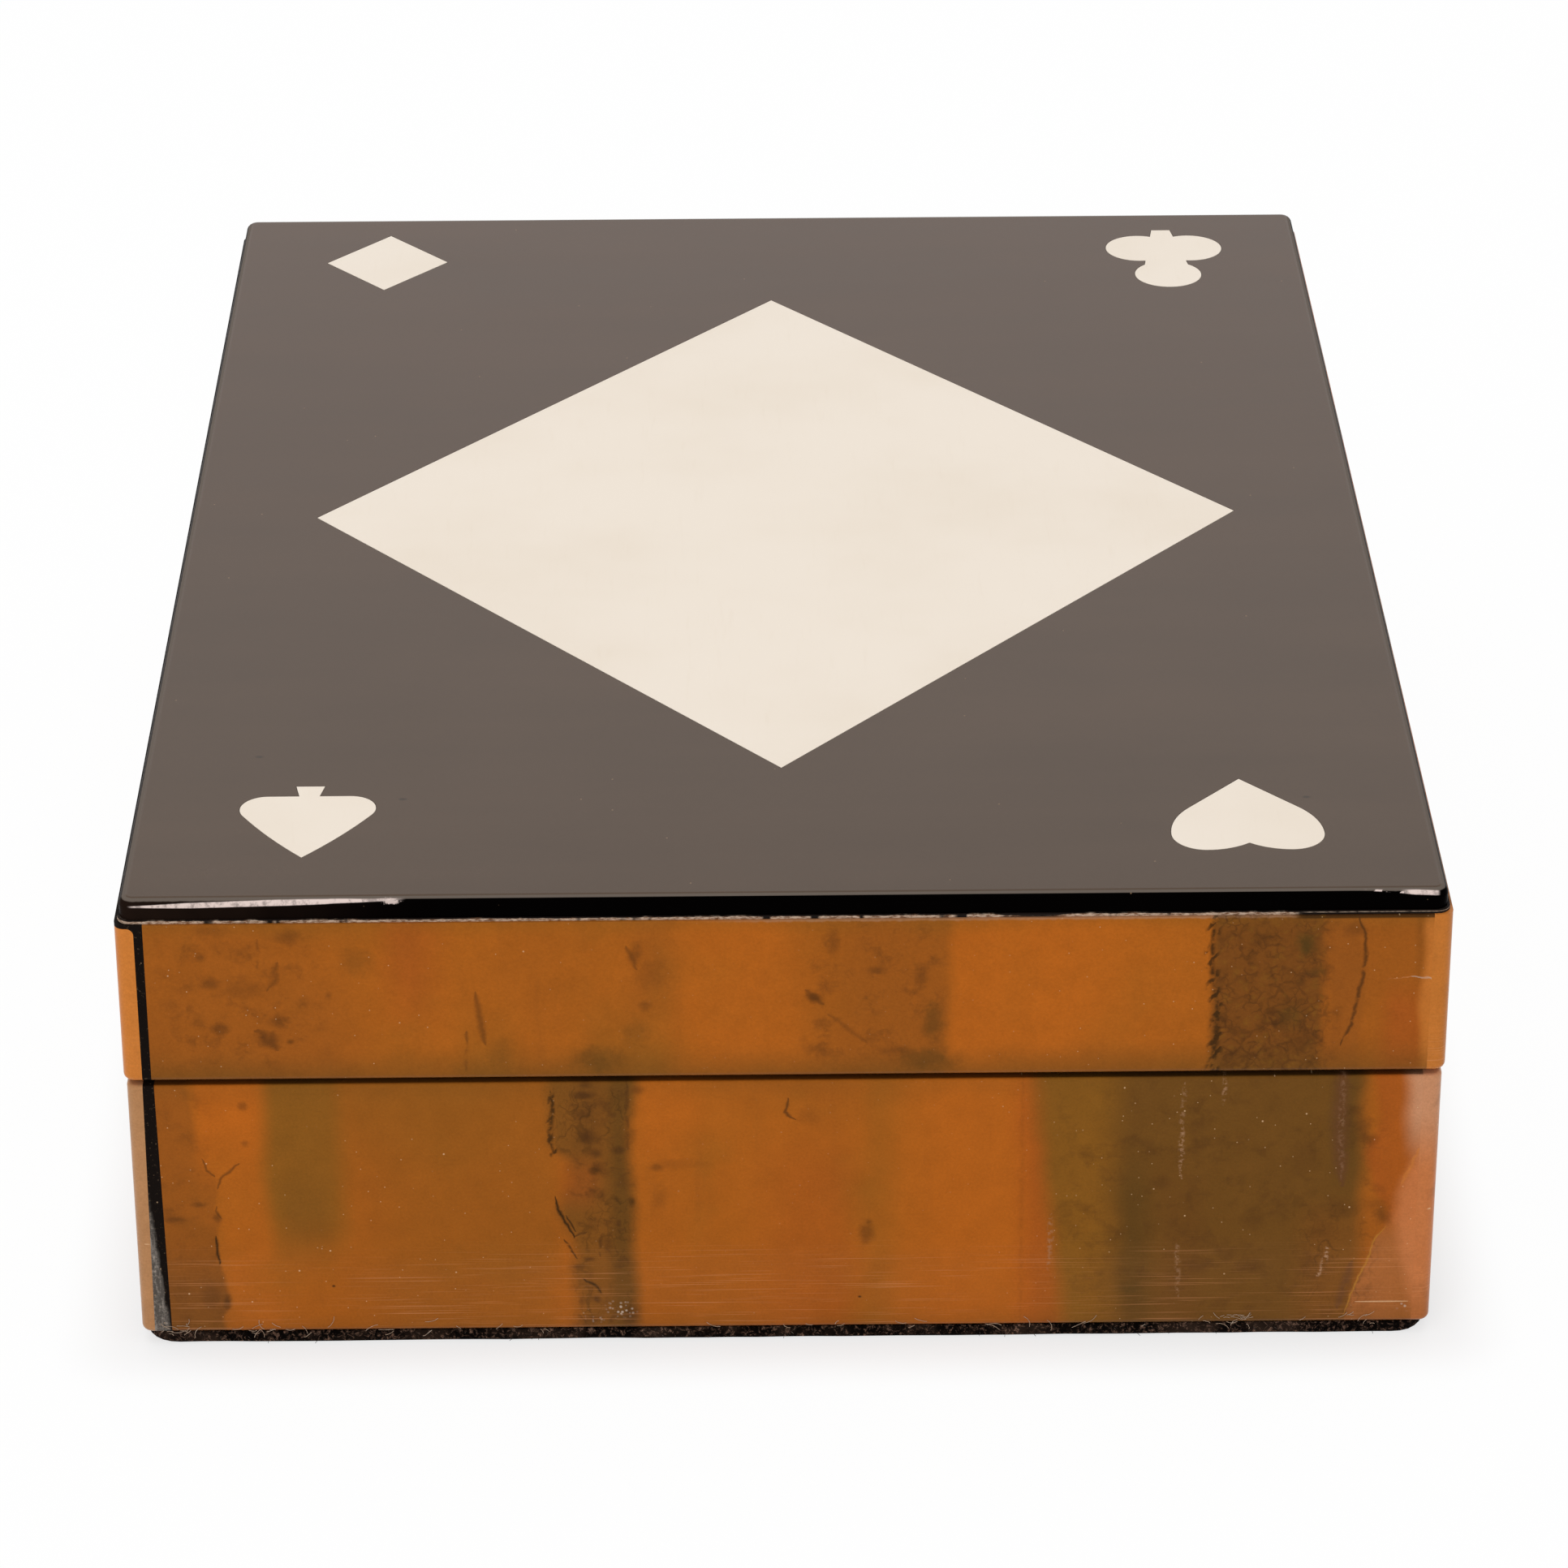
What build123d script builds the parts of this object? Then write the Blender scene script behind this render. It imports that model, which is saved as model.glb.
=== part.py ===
from build123d import *

from math import cos, radians, sin, tan
import os

# A box for two decks of playing cards: horn veneer on a wooden carcass, with a lift-off lid
# whose black horn top is inlaid with bone card suits.
# Millimetres. X runs along the front to the right, Y away from the front, Z up.
# The origin is the middle of the underside, where the felt rests on the table.

# Outside of the lid
lid_width = 116.0
lid_depth = 158.0
lid_overhang = 0.2  # how far the lid stands proud of the base on each side

# Layers from the table upwards
felt_thickness = 1.2
base_wall_height = 25.9
lid_wall_height = 15.9
glue_thickness = 0.3
plate_thickness = 1.9

# Carcass
base_wall_thickness = 5.6
bottom_board_thickness = 3.6
top_board_thickness = 3.2
rebate_depth = 2.5  # how far the boards are let into the walls
liner_thickness = 2.2
liner_rise = 6.0  # how far the liner stands above the rim to guide the lid
liner_edge_radius = 0.6
lid_clearance = 0.35  # between the liner and the inside of the lid
divider_thickness = 4.0
divider_height = 22.0
divider_housing = 1.0  # how far the divider is let into the side liners
divider_edge_chamfer = 0.6

# Felt
felt_set_back = 0.15
felt_corner_radius = 3.2
lining_thickness = 0.8
lining_clearance = 0.3

# Veneer
veneer_thickness = 1.7
veneer_corner_radius = 1.0
parting_gap = 0.25  # each veneer stops this far short of the parting plane
lid_lower_edge_radius = 0.55
base_upper_edge_radius = 0.3
base_lower_edge_radius = 0.55
lid_seam_width = 0.8  # black filler beside the lid's left veneer
base_seam_head_width = 1.0  # the base's filler widens from its head to its foot
base_seam_head_reach = 0.25  # how far its head reaches into the left veneer
base_seam_foot_width = 1.55
base_seam_foot_reach = 0.5
seam_cap_thickness = 0.35  # filler that runs on over the lid's left veneer
seam_hook_radius = 0.9 * (veneer_thickness - veneer_corner_radius)  # where it turns over that veneer

# Top plate
plate_set_back = 0.45
plate_corner_radius = 1.2
plate_edge_radius = 0.8
glue_set_back = 0.25

# Inlays, let into the top plate and flush with it
inlay_thickness = 1.4
inlay_gap = 0.05
centre_diamond_width = 90.1
centre_diamond_length = 108.9
small_diamond_width = 12.95
small_diamond_length = 15.3
heart_width = 13.5
heart_length = 13.45
heart_lobe_radius = 3.0
heart_notch_depth = 1.3
heart_tip_half_angle = 41.5  # degrees between the heart's axis and its flank at the tip
spade_width = 12.1
spade_body_length = 11.55
spade_lobe_radius = 2.4
spade_lobe_turn = 30.0  # degrees that each lobe turns on towards the tip
spade_stem_length = 1.9
spade_neck_width = 1.8
spade_stem_width = 2.55
club_lobe_radius = 3.56
club_lobe_spread = 5.44  # between the centres of the two side lobes
club_lobe_drop = 7.4  # from the side lobes' centres to the third lobe's
club_stem_length = 5.15  # from the side lobes' centres
club_neck_width = 5.4
club_stem_width = 2.0
suits_far_margin = 5.05
suits_near_margin = 7.7
small_diamond_side_margin = 9.6
spade_side_margin = 9.35
club_side_margin = 8.45
heart_side_margin = 9.85

SIDES = ("front", "back", "left", "right")


class Plan:
    """A rectangle seen from above, centred on the box."""

    def __init__(self, width, depth):
        self.width = width
        self.depth = depth

    def inside(self, distance):
        """The rectangle that lies this far inside all four sides."""
        return Plan(self.width - 2 * distance, self.depth - 2 * distance)


# Plans from the outside inwards
lid_plan = Plan(lid_width, lid_depth)
lid_core = lid_plan.inside(veneer_thickness)
base_plan = lid_plan.inside(lid_overhang)
base_core = base_plan.inside(veneer_thickness)
liner_plan = base_core.inside(base_wall_thickness)
well_plan = liner_plan.inside(liner_thickness)
lid_hollow = liner_plan.inside(-lid_clearance)
plate_plan = lid_plan.inside(plate_set_back)

# Heights from the table upwards
base_bottom = felt_thickness
floor_top = base_bottom + bottom_board_thickness
rim = base_bottom + base_wall_height
liner_top = rim + liner_rise
lid_wall_top = rim + lid_wall_height
lid_ceiling = lid_wall_top - top_board_thickness
plate_bottom = lid_wall_top + glue_thickness
plate_top = plate_bottom + plate_thickness


def block(plan, bottom, top):
    """A rectangular block over a plan, between two heights."""
    return Pos(0, 0, (bottom + top) / 2) * Box(plan.width, plan.depth, top - bottom)


def slab(x_range, y_range, z_range):
    """A block given by its limits along each axis."""
    low = Vector(x_range[0], y_range[0], z_range[0])
    high = Vector(x_range[1], y_range[1], z_range[1])
    size = high - low
    return Pos((low + high) * 0.5) * Box(size.X, size.Y, size.Z)


def rounded_block(plan, bottom, top, corner_radius):
    """A block with its four upright edges rounded."""
    body = block(plan, bottom, top)
    return fillet(body.edges().filter_by(Axis.Z), corner_radius)


def mitred_board(side, outside, inside, bottom, top):
    """One board of a four-sided frame, with its ends mitred at the frame's corners."""
    outer_x, outer_y = outside.width / 2, outside.depth / 2
    inner_x, inner_y = inside.width / 2, inside.depth / 2
    outlines = {
        "front": [(-outer_x, -outer_y), (outer_x, -outer_y), (inner_x, -inner_y), (-inner_x, -inner_y)],
        "back": [(outer_x, outer_y), (-outer_x, outer_y), (-inner_x, inner_y), (inner_x, inner_y)],
        "left": [(-outer_x, outer_y), (-outer_x, -outer_y), (-inner_x, -inner_y), (-inner_x, inner_y)],
        "right": [(outer_x, -outer_y), (outer_x, outer_y), (inner_x, inner_y), (inner_x, -inner_y)],
    }
    outline = make_face(Polyline(*outlines[side], close=True))
    return Pos(0, 0, bottom) * extrude(outline, amount=top - bottom, dir=(0, 0, 1))


# Carcass of the base
def bottom_board():
    """The floor of the base, let into rebates in the four walls."""
    return block(liner_plan.inside(-rebate_depth), base_bottom, floor_top)


def base_wall(side):
    """One wall of the base, rebated for the bottom board."""
    return mitred_board(side, base_core, liner_plan, base_bottom, rim) - bottom_board()


def divider():
    """The board between the two card wells, let into the side liners."""
    width = well_plan.width + 2 * divider_housing
    half = divider_thickness / 2
    board = slab((-width / 2, width / 2), (-half, half), (floor_top, floor_top + divider_height))
    upper_edges = board.edges().group_by(Axis.Z)[-1].filter_by(Axis.X)
    return chamfer(upper_edges, divider_edge_chamfer)


def liner(side):
    """One board of the liner, which stands above the rim and guides the lid."""
    board = mitred_board(side, liner_plan, well_plan, floor_top, liner_top)
    along = Axis.X if side in ("front", "back") else Axis.Y
    upper_edges = board.edges().group_by(Axis.Z)[-1].filter_by(along)
    return fillet(upper_edges, liner_edge_radius) - divider()


def well_lining(direction):
    """Felt on the floor of one card well: direction is -1 for the front well and 1 for the back one."""
    half_width = well_plan.width / 2 - lining_clearance
    near = direction * (divider_thickness / 2 + lining_clearance)
    far = direction * (well_plan.depth / 2 - lining_clearance)
    return slab(
        (-half_width, half_width), sorted((near, far)), (floor_top, floor_top + lining_thickness)
    )


def base_felt():
    """The felt under the base, which the box stands on."""
    return rounded_block(base_plan.inside(felt_set_back), 0, felt_thickness, felt_corner_radius)


# Carcass of the lid
def top_board():
    """The ceiling of the lid, let into rebates in the four walls."""
    return block(lid_hollow.inside(-rebate_depth), lid_ceiling, lid_wall_top)


def lid_wall(side):
    """One wall of the lid, rebated for the top board."""
    return mitred_board(side, lid_core, lid_hollow, rim, lid_wall_top) - top_board()


def lid_lining():
    """Felt on the ceiling of the lid."""
    return block(lid_hollow.inside(lining_clearance), lid_ceiling - lining_thickness, lid_ceiling)


# Veneers
def veneer_band(outside, core, bottom, top):
    """The band of veneer round one half of the box, before its edges are rounded and it is cut."""
    return rounded_block(outside, bottom, top, veneer_corner_radius), block(core, bottom, top)


def rounded_below(body, radius):
    """The body with the edges of its lowest face rounded."""
    return fillet(body.faces().sort_by(Axis.Z)[0].edges(), radius)


def rounded_above(body, radius):
    """The body with the edges of its highest face rounded."""
    return fillet(body.faces().sort_by(Axis.Z)[-1].edges(), radius)


class SeamEnd:
    """The foot or head of a filler: its height, its width and how far it reaches into the left veneer."""

    def __init__(self, level, width, reach):
        self.level = level
        self.width = width
        self.reach = reach

    def corners(self, veneer_edge):
        """Its left and right corners, seen from the front."""
        left = veneer_edge - self.reach
        return (left, self.level), (left + self.width, self.level)


def seam_wedge(outside, core, direction, foot, head):
    """The space beside the left veneer that the filler takes, at the front (-1) or the back (1)."""
    foot_left, foot_right = foot.corners(-core.width / 2)
    head_left, head_right = head.corners(-core.width / 2)
    outline = Plane.XZ * make_face(
        Polyline(foot_left, foot_right, head_right, head_left, close=True)
    )
    middle = direction * (outside.depth + core.depth) / 4
    return Pos(0, middle, 0) * extrude(outline, amount=veneer_thickness / 2, both=True)


def cut_veneers(band, outside, core, foot, head):
    """The band cut into its four veneers and the filler beside the left one.

    The side veneers run the full depth, and the front and back ones fit between them.
    """
    outer_x, outer_y = outside.width / 2, outside.depth / 2
    core_x, core_y = core.width / 2, core.depth / 2
    height = (foot.level, head.level)
    fillers = [seam_wedge(outside, core, direction, foot, head) for direction in (-1, 1)]
    between = (-core_x, core_x)
    left = band & slab((-outer_x, -core_x), (-outer_y, outer_y), height)
    return {
        "left": left - fillers[0] - fillers[1],
        "right": band & slab((core_x, outer_x), (-outer_y, outer_y), height),
        "front": (band & slab(between, (-outer_y, -core_y), height)) - fillers[0],
        "back": (band & slab(between, (core_y, outer_y), height)) - fillers[1],
        "seams": [band & filler for filler in fillers],
    }


def base_veneers():
    """The base's veneers and the filler at its left corners."""
    bottom, top = base_bottom, rim - parting_gap
    body, core = veneer_band(base_plan, base_core, bottom, top)
    body = rounded_above(rounded_below(body, base_lower_edge_radius), base_upper_edge_radius)
    foot = SeamEnd(bottom, base_seam_foot_width, base_seam_foot_reach)
    head = SeamEnd(top, base_seam_head_width, base_seam_head_reach)
    cut = cut_veneers(body - core, base_plan, base_core, foot, head)
    cut["seams"] = cut["seams"][0] + cut["seams"][1]
    return cut


def lid_veneers():
    """The lid's veneers and the filler at its left corners, which runs on over the left veneer."""
    bottom, top = rim + parting_gap, lid_wall_top
    body, core = veneer_band(lid_plan, lid_core, bottom, top)
    body = rounded_below(body, lid_lower_edge_radius)
    foot = SeamEnd(bottom, lid_seam_width, 0)
    head = SeamEnd(top, lid_seam_width, 0)
    cut = cut_veneers(body - core, lid_plan, lid_core, foot, head)
    lowered = cut["left"] - block(lid_plan, top - seam_cap_thickness, top)
    inner_edge = lowered.edges().group_by(Axis.Z)[-1].filter_by(Axis.Y).sort_by(Axis.X)[-1]
    hooked = fillet(inner_edge, seam_hook_radius)
    cut["seams"] = cut["seams"][0] + cut["seams"][1] + (cut["left"] - hooked)
    cut["left"] = hooked
    return cut


# Inlays, drawn as their owner reads them, with the box turned round from the front view
def diamond(width, length):
    """A card diamond."""
    return make_face(
        Polyline((0, -length / 2), (width / 2, 0), (0, length / 2), (-width / 2, 0), close=True)
    )


def mirrored_outline(half):
    """The face between a half outline, drawn up the right side, and its mirror image."""
    return make_face(half + [edge.mirror(Plane.YZ) for edge in half])


def heart():
    """A card heart with its tip at the origin and its lobes above."""
    half_width = heart_width / 2
    lobe_y = heart_length - heart_lobe_radius
    crown = (half_width - heart_lobe_radius, heart_length)
    flank = (half_width, lobe_y)
    notch = (0, heart_length - heart_notch_depth)
    turn = radians(heart_tip_half_angle)
    flank_radius = (lobe_y * tan(turn) - half_width) / (tan(turn) * sin(turn) - 1 + cos(turn))
    leave = (half_width - flank_radius * (1 - cos(turn)), lobe_y - flank_radius * sin(turn))
    return mirrored_outline(
        [
            Line((0, 0), leave),
            TangentArc(flank, leave, tangent=(0, -1)),
            TangentArc(flank, crown, tangent=(0, 1)),
            TangentArc(crown, notch, tangent=(-1, 0)),
        ]
    )


def spade():
    """A card spade with its tip at the origin and its stem below."""
    lobe_x = spade_width / 2 - spade_lobe_radius
    lobe_y = spade_lobe_radius - spade_body_length
    turn = radians(spade_lobe_turn)
    leave = (lobe_x + spade_lobe_radius * cos(turn), lobe_y + spade_lobe_radius * sin(turn))
    shoulder = (lobe_x, -spade_body_length)
    neck = (spade_neck_width / 2, -spade_body_length)
    stem = (spade_stem_width / 2, -spade_body_length - spade_stem_length)
    along = (-sin(turn), cos(turn))
    return mirrored_outline(
        [
            TangentArc(leave, (0, 0), tangent=along),
            TangentArc(leave, shoulder, tangent=(-along[0], -along[1])),
            Line(shoulder, neck),
            Line(neck, stem),
            Line(stem, (0, stem[1])),
        ]
    )


def club():
    """A card club with its side lobes' centres on the origin's level, one lobe above and the stem below."""
    lobe_places = [(-club_lobe_spread / 2, 0), (club_lobe_spread / 2, 0), (0, club_lobe_drop)]
    lobes = [Pos(*place) * Circle(club_lobe_radius) for place in lobe_places]
    stem = make_face(
        Polyline(
            (-club_stem_width / 2, -club_stem_length),
            (club_stem_width / 2, -club_stem_length),
            (club_neck_width / 2, club_lobe_drop),
            (-club_neck_width / 2, club_lobe_drop),
            close=True,
        )
    )
    return lobes[0] + lobes[1] + lobes[2] + stem


def in_corner(outline, to_right, to_back, side_margin, end_margin):
    """The outline, turned half round, set in a corner of the top plate at these margins."""
    turned = Rot(0, 0, 180) * outline
    box = turned.bounding_box()
    edge_x, edge_y = plate_plan.width / 2, plate_plan.depth / 2
    move_x = edge_x - side_margin - box.max.X if to_right else side_margin - edge_x - box.min.X
    move_y = edge_y - end_margin - box.max.Y if to_back else end_margin - edge_y - box.min.Y
    return Pos(move_x, move_y) * turned


def inlay_outlines():
    """Each inlay's outline, in place on the top plate."""
    small_diamond = diamond(small_diamond_width, small_diamond_length)
    return {
        "inlay_centre_diamond": diamond(centre_diamond_width, centre_diamond_length),
        "inlay_small_diamond": in_corner(
            small_diamond, False, True, small_diamond_side_margin, suits_far_margin
        ),
        "inlay_club": in_corner(club(), True, True, club_side_margin, suits_far_margin),
        "inlay_spade": in_corner(spade(), False, False, spade_side_margin, suits_near_margin),
        "inlay_heart": in_corner(heart(), True, False, heart_side_margin, suits_near_margin),
    }


def inlay_solid(outline):
    """An inlay, or the pocket for one, from its outline."""
    return Pos(0, 0, plate_top - inlay_thickness) * extrude(outline, amount=inlay_thickness, dir=(0, 0, 1))


def glue_bed():
    """The layer of glue between the lid and its top plate."""
    return rounded_block(lid_plan.inside(glue_set_back), lid_wall_top, plate_bottom, plate_corner_radius)


def top_plate(outlines):
    """The horn plate on the lid, with a pocket for each inlay."""
    plate = rounded_block(plate_plan, plate_bottom, plate_top, plate_corner_radius)
    plate = rounded_above(plate, plate_edge_radius)
    for outline in outlines:
        plate -= inlay_solid(offset(outline, amount=inlay_gap, kind=Kind.INTERSECTION))
    return plate


def all_pieces():
    """Every piece of the box by name."""
    pieces = {}
    for side in SIDES:
        pieces[f"base_{side}_wall"] = base_wall(side)
        pieces[f"liner_{side}"] = liner(side)
        pieces[f"lid_{side}_wall"] = lid_wall(side)
    pieces["base_bottom_board"] = bottom_board()
    pieces["well_divider"] = divider()
    pieces["front_well_lining"] = well_lining(-1)
    pieces["back_well_lining"] = well_lining(1)
    pieces["base_felt"] = base_felt()
    pieces["lid_top_board"] = top_board()
    pieces["lid_lining"] = lid_lining()
    pieces["lid_glue_bed"] = glue_bed()
    for half, cut in (("base", base_veneers()), ("lid", lid_veneers())):
        pieces[f"{half}_corner_seams"] = cut["seams"]
        for side in SIDES:
            pieces[f"{half}_{side}_veneer"] = cut[side]
    outlines = inlay_outlines()
    pieces["lid_top_plate"] = top_plate(outlines.values())
    for name, outline in outlines.items():
        pieces[name] = inlay_solid(outline)
    return pieces


os.makedirs("parts", exist_ok=True)
for name, piece in all_pieces().items():
    export_step(piece, f"parts/{name}.step")
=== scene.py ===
"""A box for two decks of playing cards, dressed for the camera.

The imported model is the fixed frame. Its horn, bone, filler and wooden pieces keep their shapes and
get their finishes here, and its felt is replaced by sheets that are made here. Patterns and sizes
are in millimetres in the frame of the box; meshes are handed to Blender in metres.
"""

import logging
import math
import random
from dataclasses import dataclass
from enum import Enum

import bmesh
import bpy
from mathutils import Matrix, Vector, noise


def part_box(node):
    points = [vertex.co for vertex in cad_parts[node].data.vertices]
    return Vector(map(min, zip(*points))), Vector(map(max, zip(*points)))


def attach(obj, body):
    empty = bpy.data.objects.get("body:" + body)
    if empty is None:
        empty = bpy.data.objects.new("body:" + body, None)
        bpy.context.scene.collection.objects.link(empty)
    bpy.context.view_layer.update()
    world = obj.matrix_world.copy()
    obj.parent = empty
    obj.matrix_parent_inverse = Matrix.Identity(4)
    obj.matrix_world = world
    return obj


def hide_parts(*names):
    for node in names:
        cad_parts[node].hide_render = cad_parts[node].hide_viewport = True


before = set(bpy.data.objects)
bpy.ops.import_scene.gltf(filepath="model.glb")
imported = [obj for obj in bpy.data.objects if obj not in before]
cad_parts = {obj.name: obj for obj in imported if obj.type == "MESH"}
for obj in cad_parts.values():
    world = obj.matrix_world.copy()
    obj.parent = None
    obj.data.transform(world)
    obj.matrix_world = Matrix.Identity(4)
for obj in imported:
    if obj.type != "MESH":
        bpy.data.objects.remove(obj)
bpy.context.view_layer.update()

log = logging.getLogger("card_box")

MM = 0.001
SAME_LEVEL = 1e-6
Colour = tuple[float, float, float, float]
Point = tuple[float, float]
Path = tuple[Point, ...]


def screen_colour(red: int, green: int, blue: int) -> Colour:
    """The linear colour that shows as these screen values from 0 to 255.

    Args:
        red: Red screen value.
        green: Green screen value.
        blue: Blue screen value.

    Returns:
        The linear colour, fully opaque.
    """
    linear = []
    for value in (red, green, blue):
        part = value / 255
        linear.append(part / 12.92 if part <= 0.04045 else ((part + 0.055) / 1.055) ** 2.4)
    return (linear[0], linear[1], linear[2], 1.0)


class Shade(Enum):
    """The colours that the finishes are mixed from."""

    AMBER = screen_colour(169, 92, 25)
    BRIGHT_AMBER = screen_colour(182, 95, 25)
    DEEP_AMBER = screen_colour(156, 85, 24)
    TOBACCO = screen_colour(138, 76, 26)
    RUST = screen_colour(158, 74, 26)
    OLIVE = screen_colour(124, 82, 26)
    OLIVE_BROWN = screen_colour(104, 68, 26)
    UMBER = screen_colour(96, 58, 24)
    DARK_OLIVE = screen_colour(70, 52, 22)
    SMOKE = screen_colour(64, 36, 18)
    VEIN = screen_colour(34, 22, 12)
    HONEY = screen_colour(202, 122, 54)
    PALE_HONEY = screen_colour(178, 132, 92)
    ROSE = screen_colour(198, 120, 72)
    PALE_ROSE = screen_colour(198, 146, 112)
    TAWNY = screen_colour(164, 98, 52)
    STRAW = screen_colour(180, 124, 44)
    LILAC = screen_colour(164, 126, 96)
    PLUM = screen_colour(94, 58, 36)
    GLUE = screen_colour(168, 130, 102)
    DUST = screen_colour(226, 188, 146)
    SCRATCH = screen_colour(214, 146, 98)
    CHALK = screen_colour(196, 178, 160)
    BLACK = screen_colour(12, 9, 8)


class Side(Enum):
    """The sides of the box, as seen from outside. The front is the photographed end."""

    FRONT = "front"
    BACK = "back"
    LEFT = "left"
    RIGHT = "right"


class Half(Enum):
    """The two bodies of the box."""

    BASE = "base"
    LID = "lid"


class Held(Enum):
    """How a sheet of felt is held."""

    STRETCHED = "stretched"
    LAID = "laid"


class Edge(Enum):
    """How the outline of a mark in the horn runs."""

    STRAIGHT = "straight"
    NICKED = "nicked"
    CALM = "calm"
    FINE = "fine"
    JAGGED = "jagged"


class Grain(Enum):
    """The direction of a board's grain."""

    ACROSS = 0
    AWAY = 1


class Value:
    """An output socket, with arithmetic that adds Math nodes."""

    def __init__(self, graph: "Graph", socket: bpy.types.NodeSocket) -> None:
        """Wrap a socket of a graph."""
        self.graph = graph
        self.socket = socket

    def __add__(self, other: "Value | float") -> "Value":
        """This plus a term."""
        return self.graph.math("ADD", self, other)

    def __radd__(self, other: float) -> "Value":
        """A number plus this."""
        return self.graph.math("ADD", other, self)

    def __sub__(self, other: "Value | float") -> "Value":
        """This minus a term."""
        return self.graph.math("SUBTRACT", self, other)

    def __rsub__(self, other: float) -> "Value":
        """A number minus this."""
        return self.graph.math("SUBTRACT", other, self)

    def __mul__(self, other: "Value | float") -> "Value":
        """This times a term."""
        return self.graph.math("MULTIPLY", self, other)

    def __rmul__(self, other: float) -> "Value":
        """A number times this."""
        return self.graph.math("MULTIPLY", other, self)

    def __abs__(self) -> "Value":
        """The size of this without its sign."""
        return self.graph.math("ABSOLUTE", self)


class Graph:
    """A node tree that is written as expressions."""

    def __init__(self, tree: bpy.types.NodeTree) -> None:
        """Start an empty graph in a tree."""
        self.tree = tree
        self.tree.nodes.clear()

    def node(self, kind: str, settings: dict | None = None, sockets: dict | None = None) -> bpy.types.Node:
        """Add a node.

        Args:
            kind: The node's type.
            settings: Its properties, which are set first.
            sockets: A value or a link for each input, by name or number.

        Returns:
            The new node.
        """
        made = self.tree.nodes.new(kind)
        for name, setting in (settings or {}).items():
            setattr(made, name, setting)
        for key, value in (sockets or {}).items():
            if isinstance(value, Value):
                self.tree.links.new(value.socket, made.inputs[key])
            else:
                made.inputs[key].default_value = value
        return made

    def value(self, kind: str, settings: dict | None, sockets: dict, output: int | str = 0) -> Value:
        """Add a node and take one of its outputs.

        Args:
            kind: The node's type.
            settings: Its properties.
            sockets: A value or a link for each input.
            output: The output's name or number.

        Returns:
            The output.
        """
        return Value(self, self.node(kind, settings, sockets).outputs[output])

    def math(self, operation: str, *terms: Value | float) -> Value:
        """A Math node over one or more terms."""
        return self.value("ShaderNodeMath", {"operation": operation}, dict(enumerate(terms)))

    def vector(self, operation: str, *terms: object, output: int = 0) -> Value:
        """A Vector Math node over vectors; output 1 is the value of a length or a product."""
        return self.value("ShaderNodeVectorMath", {"operation": operation}, dict(enumerate(terms)), output)

    def scaled(self, vector: object, factor: Value | float) -> Value:
        """A vector or a colour times one number."""
        sockets = {"Vector": vector, "Scale": factor}
        return self.value("ShaderNodeVectorMath", {"operation": "SCALE"}, sockets)

    def mix(self, factor: Value | float, first: object, second: object) -> Value:
        """A colour that goes from the first to the second as the factor goes from 0 to 1."""
        return self.value("ShaderNodeMix", {"data_type": "RGBA"}, {0: factor, 6: first, 7: second}, 2)

    def step(self, value: Value, low: Value | float, high: Value | float, most: float = 1.0) -> Value:
        """0 at low and the most at high with a smooth rise between; low may be the larger."""
        return self.value(
            "ShaderNodeMapRange",
            {"interpolation_type": "SMOOTHSTEP"},
            {"Value": value, "From Min": low, "From Max": high, "To Max": most},
        )

    def between(self, value: Value, low: float, high: float, soft_low: float, soft_high: float) -> Value:
        """1 between two limits and 0 outside them, with soft edges of these half widths."""
        rise = self.step(value, low - soft_low, low + soft_low)
        return rise * self.step(value, high + soft_high, high - soft_high)

    def noise(self, point: Value, scale: float, detail: float = 2.0, rough: float = 0.5) -> Value:
        """Noise from 0 to 1, with this many features to the millimetre."""
        return self.value(
            "ShaderNodeTexNoise",
            None,
            {"Vector": point, "Scale": scale, "Detail": detail, "Roughness": rough},
        )

    def cells(self, point: Value, scale: float, feature: str, output: str = "Distance") -> Value:
        """A Voronoi pattern with this many cells to the millimetre."""
        sockets = {"Vector": point, "Scale": scale}
        return self.value("ShaderNodeTexVoronoi", {"feature": feature}, sockets, output)

    def specks(self, point: Value, scale: float, radius: float, share: float) -> Value:
        """Scattered dots.

        Args:
            point: The point in millimetres.
            scale: Places for a dot to the millimetre.
            radius: Radius of a dot in millimetres.
            share: Share of the places that have one.

        Returns:
            1 in the dots and 0 between them.
        """
        distance = self.cells(point, scale, "F1")
        chance = self.split(self.cells(point, scale, "F1", "Color"))[0]
        dots = self.step(distance, radius * scale, radius * scale * 0.3)
        return dots * self.step(chance, 1 - share, 1 - share + 0.02)

    def warped(self, point: Value, scale: float, amount: float, detail: float) -> Value:
        """A point moved about by noise.

        Args:
            point: The point in millimetres.
            scale: Features of the noise to the millimetre.
            amount: The widest spread of the movement in millimetres.
            detail: Finer layers of the noise.

        Returns:
            The moved point.
        """
        moved = self.value(
            "ShaderNodeTexNoise", None, {"Vector": point, "Scale": scale, "Detail": detail}, "Color"
        )
        spread = (amount, amount, amount)
        middle = (-amount / 2, -amount / 2, -amount / 2)
        return self.vector("ADD", point, self.vector("MULTIPLY_ADD", moved, spread, middle))

    def place(self) -> Value:
        """The point on the piece in millimetres of the frame."""
        coordinate = self.value("ShaderNodeTexCoord", None, {}, "Object")
        return self.scaled(coordinate, 1 / MM)

    def split(self, vector: Value) -> tuple[Value, Value, Value]:
        """The three parts of a vector."""
        parts = self.node("ShaderNodeSeparateXYZ", None, {"Vector": vector}).outputs
        return Value(self, parts[0]), Value(self, parts[1]), Value(self, parts[2])

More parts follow.
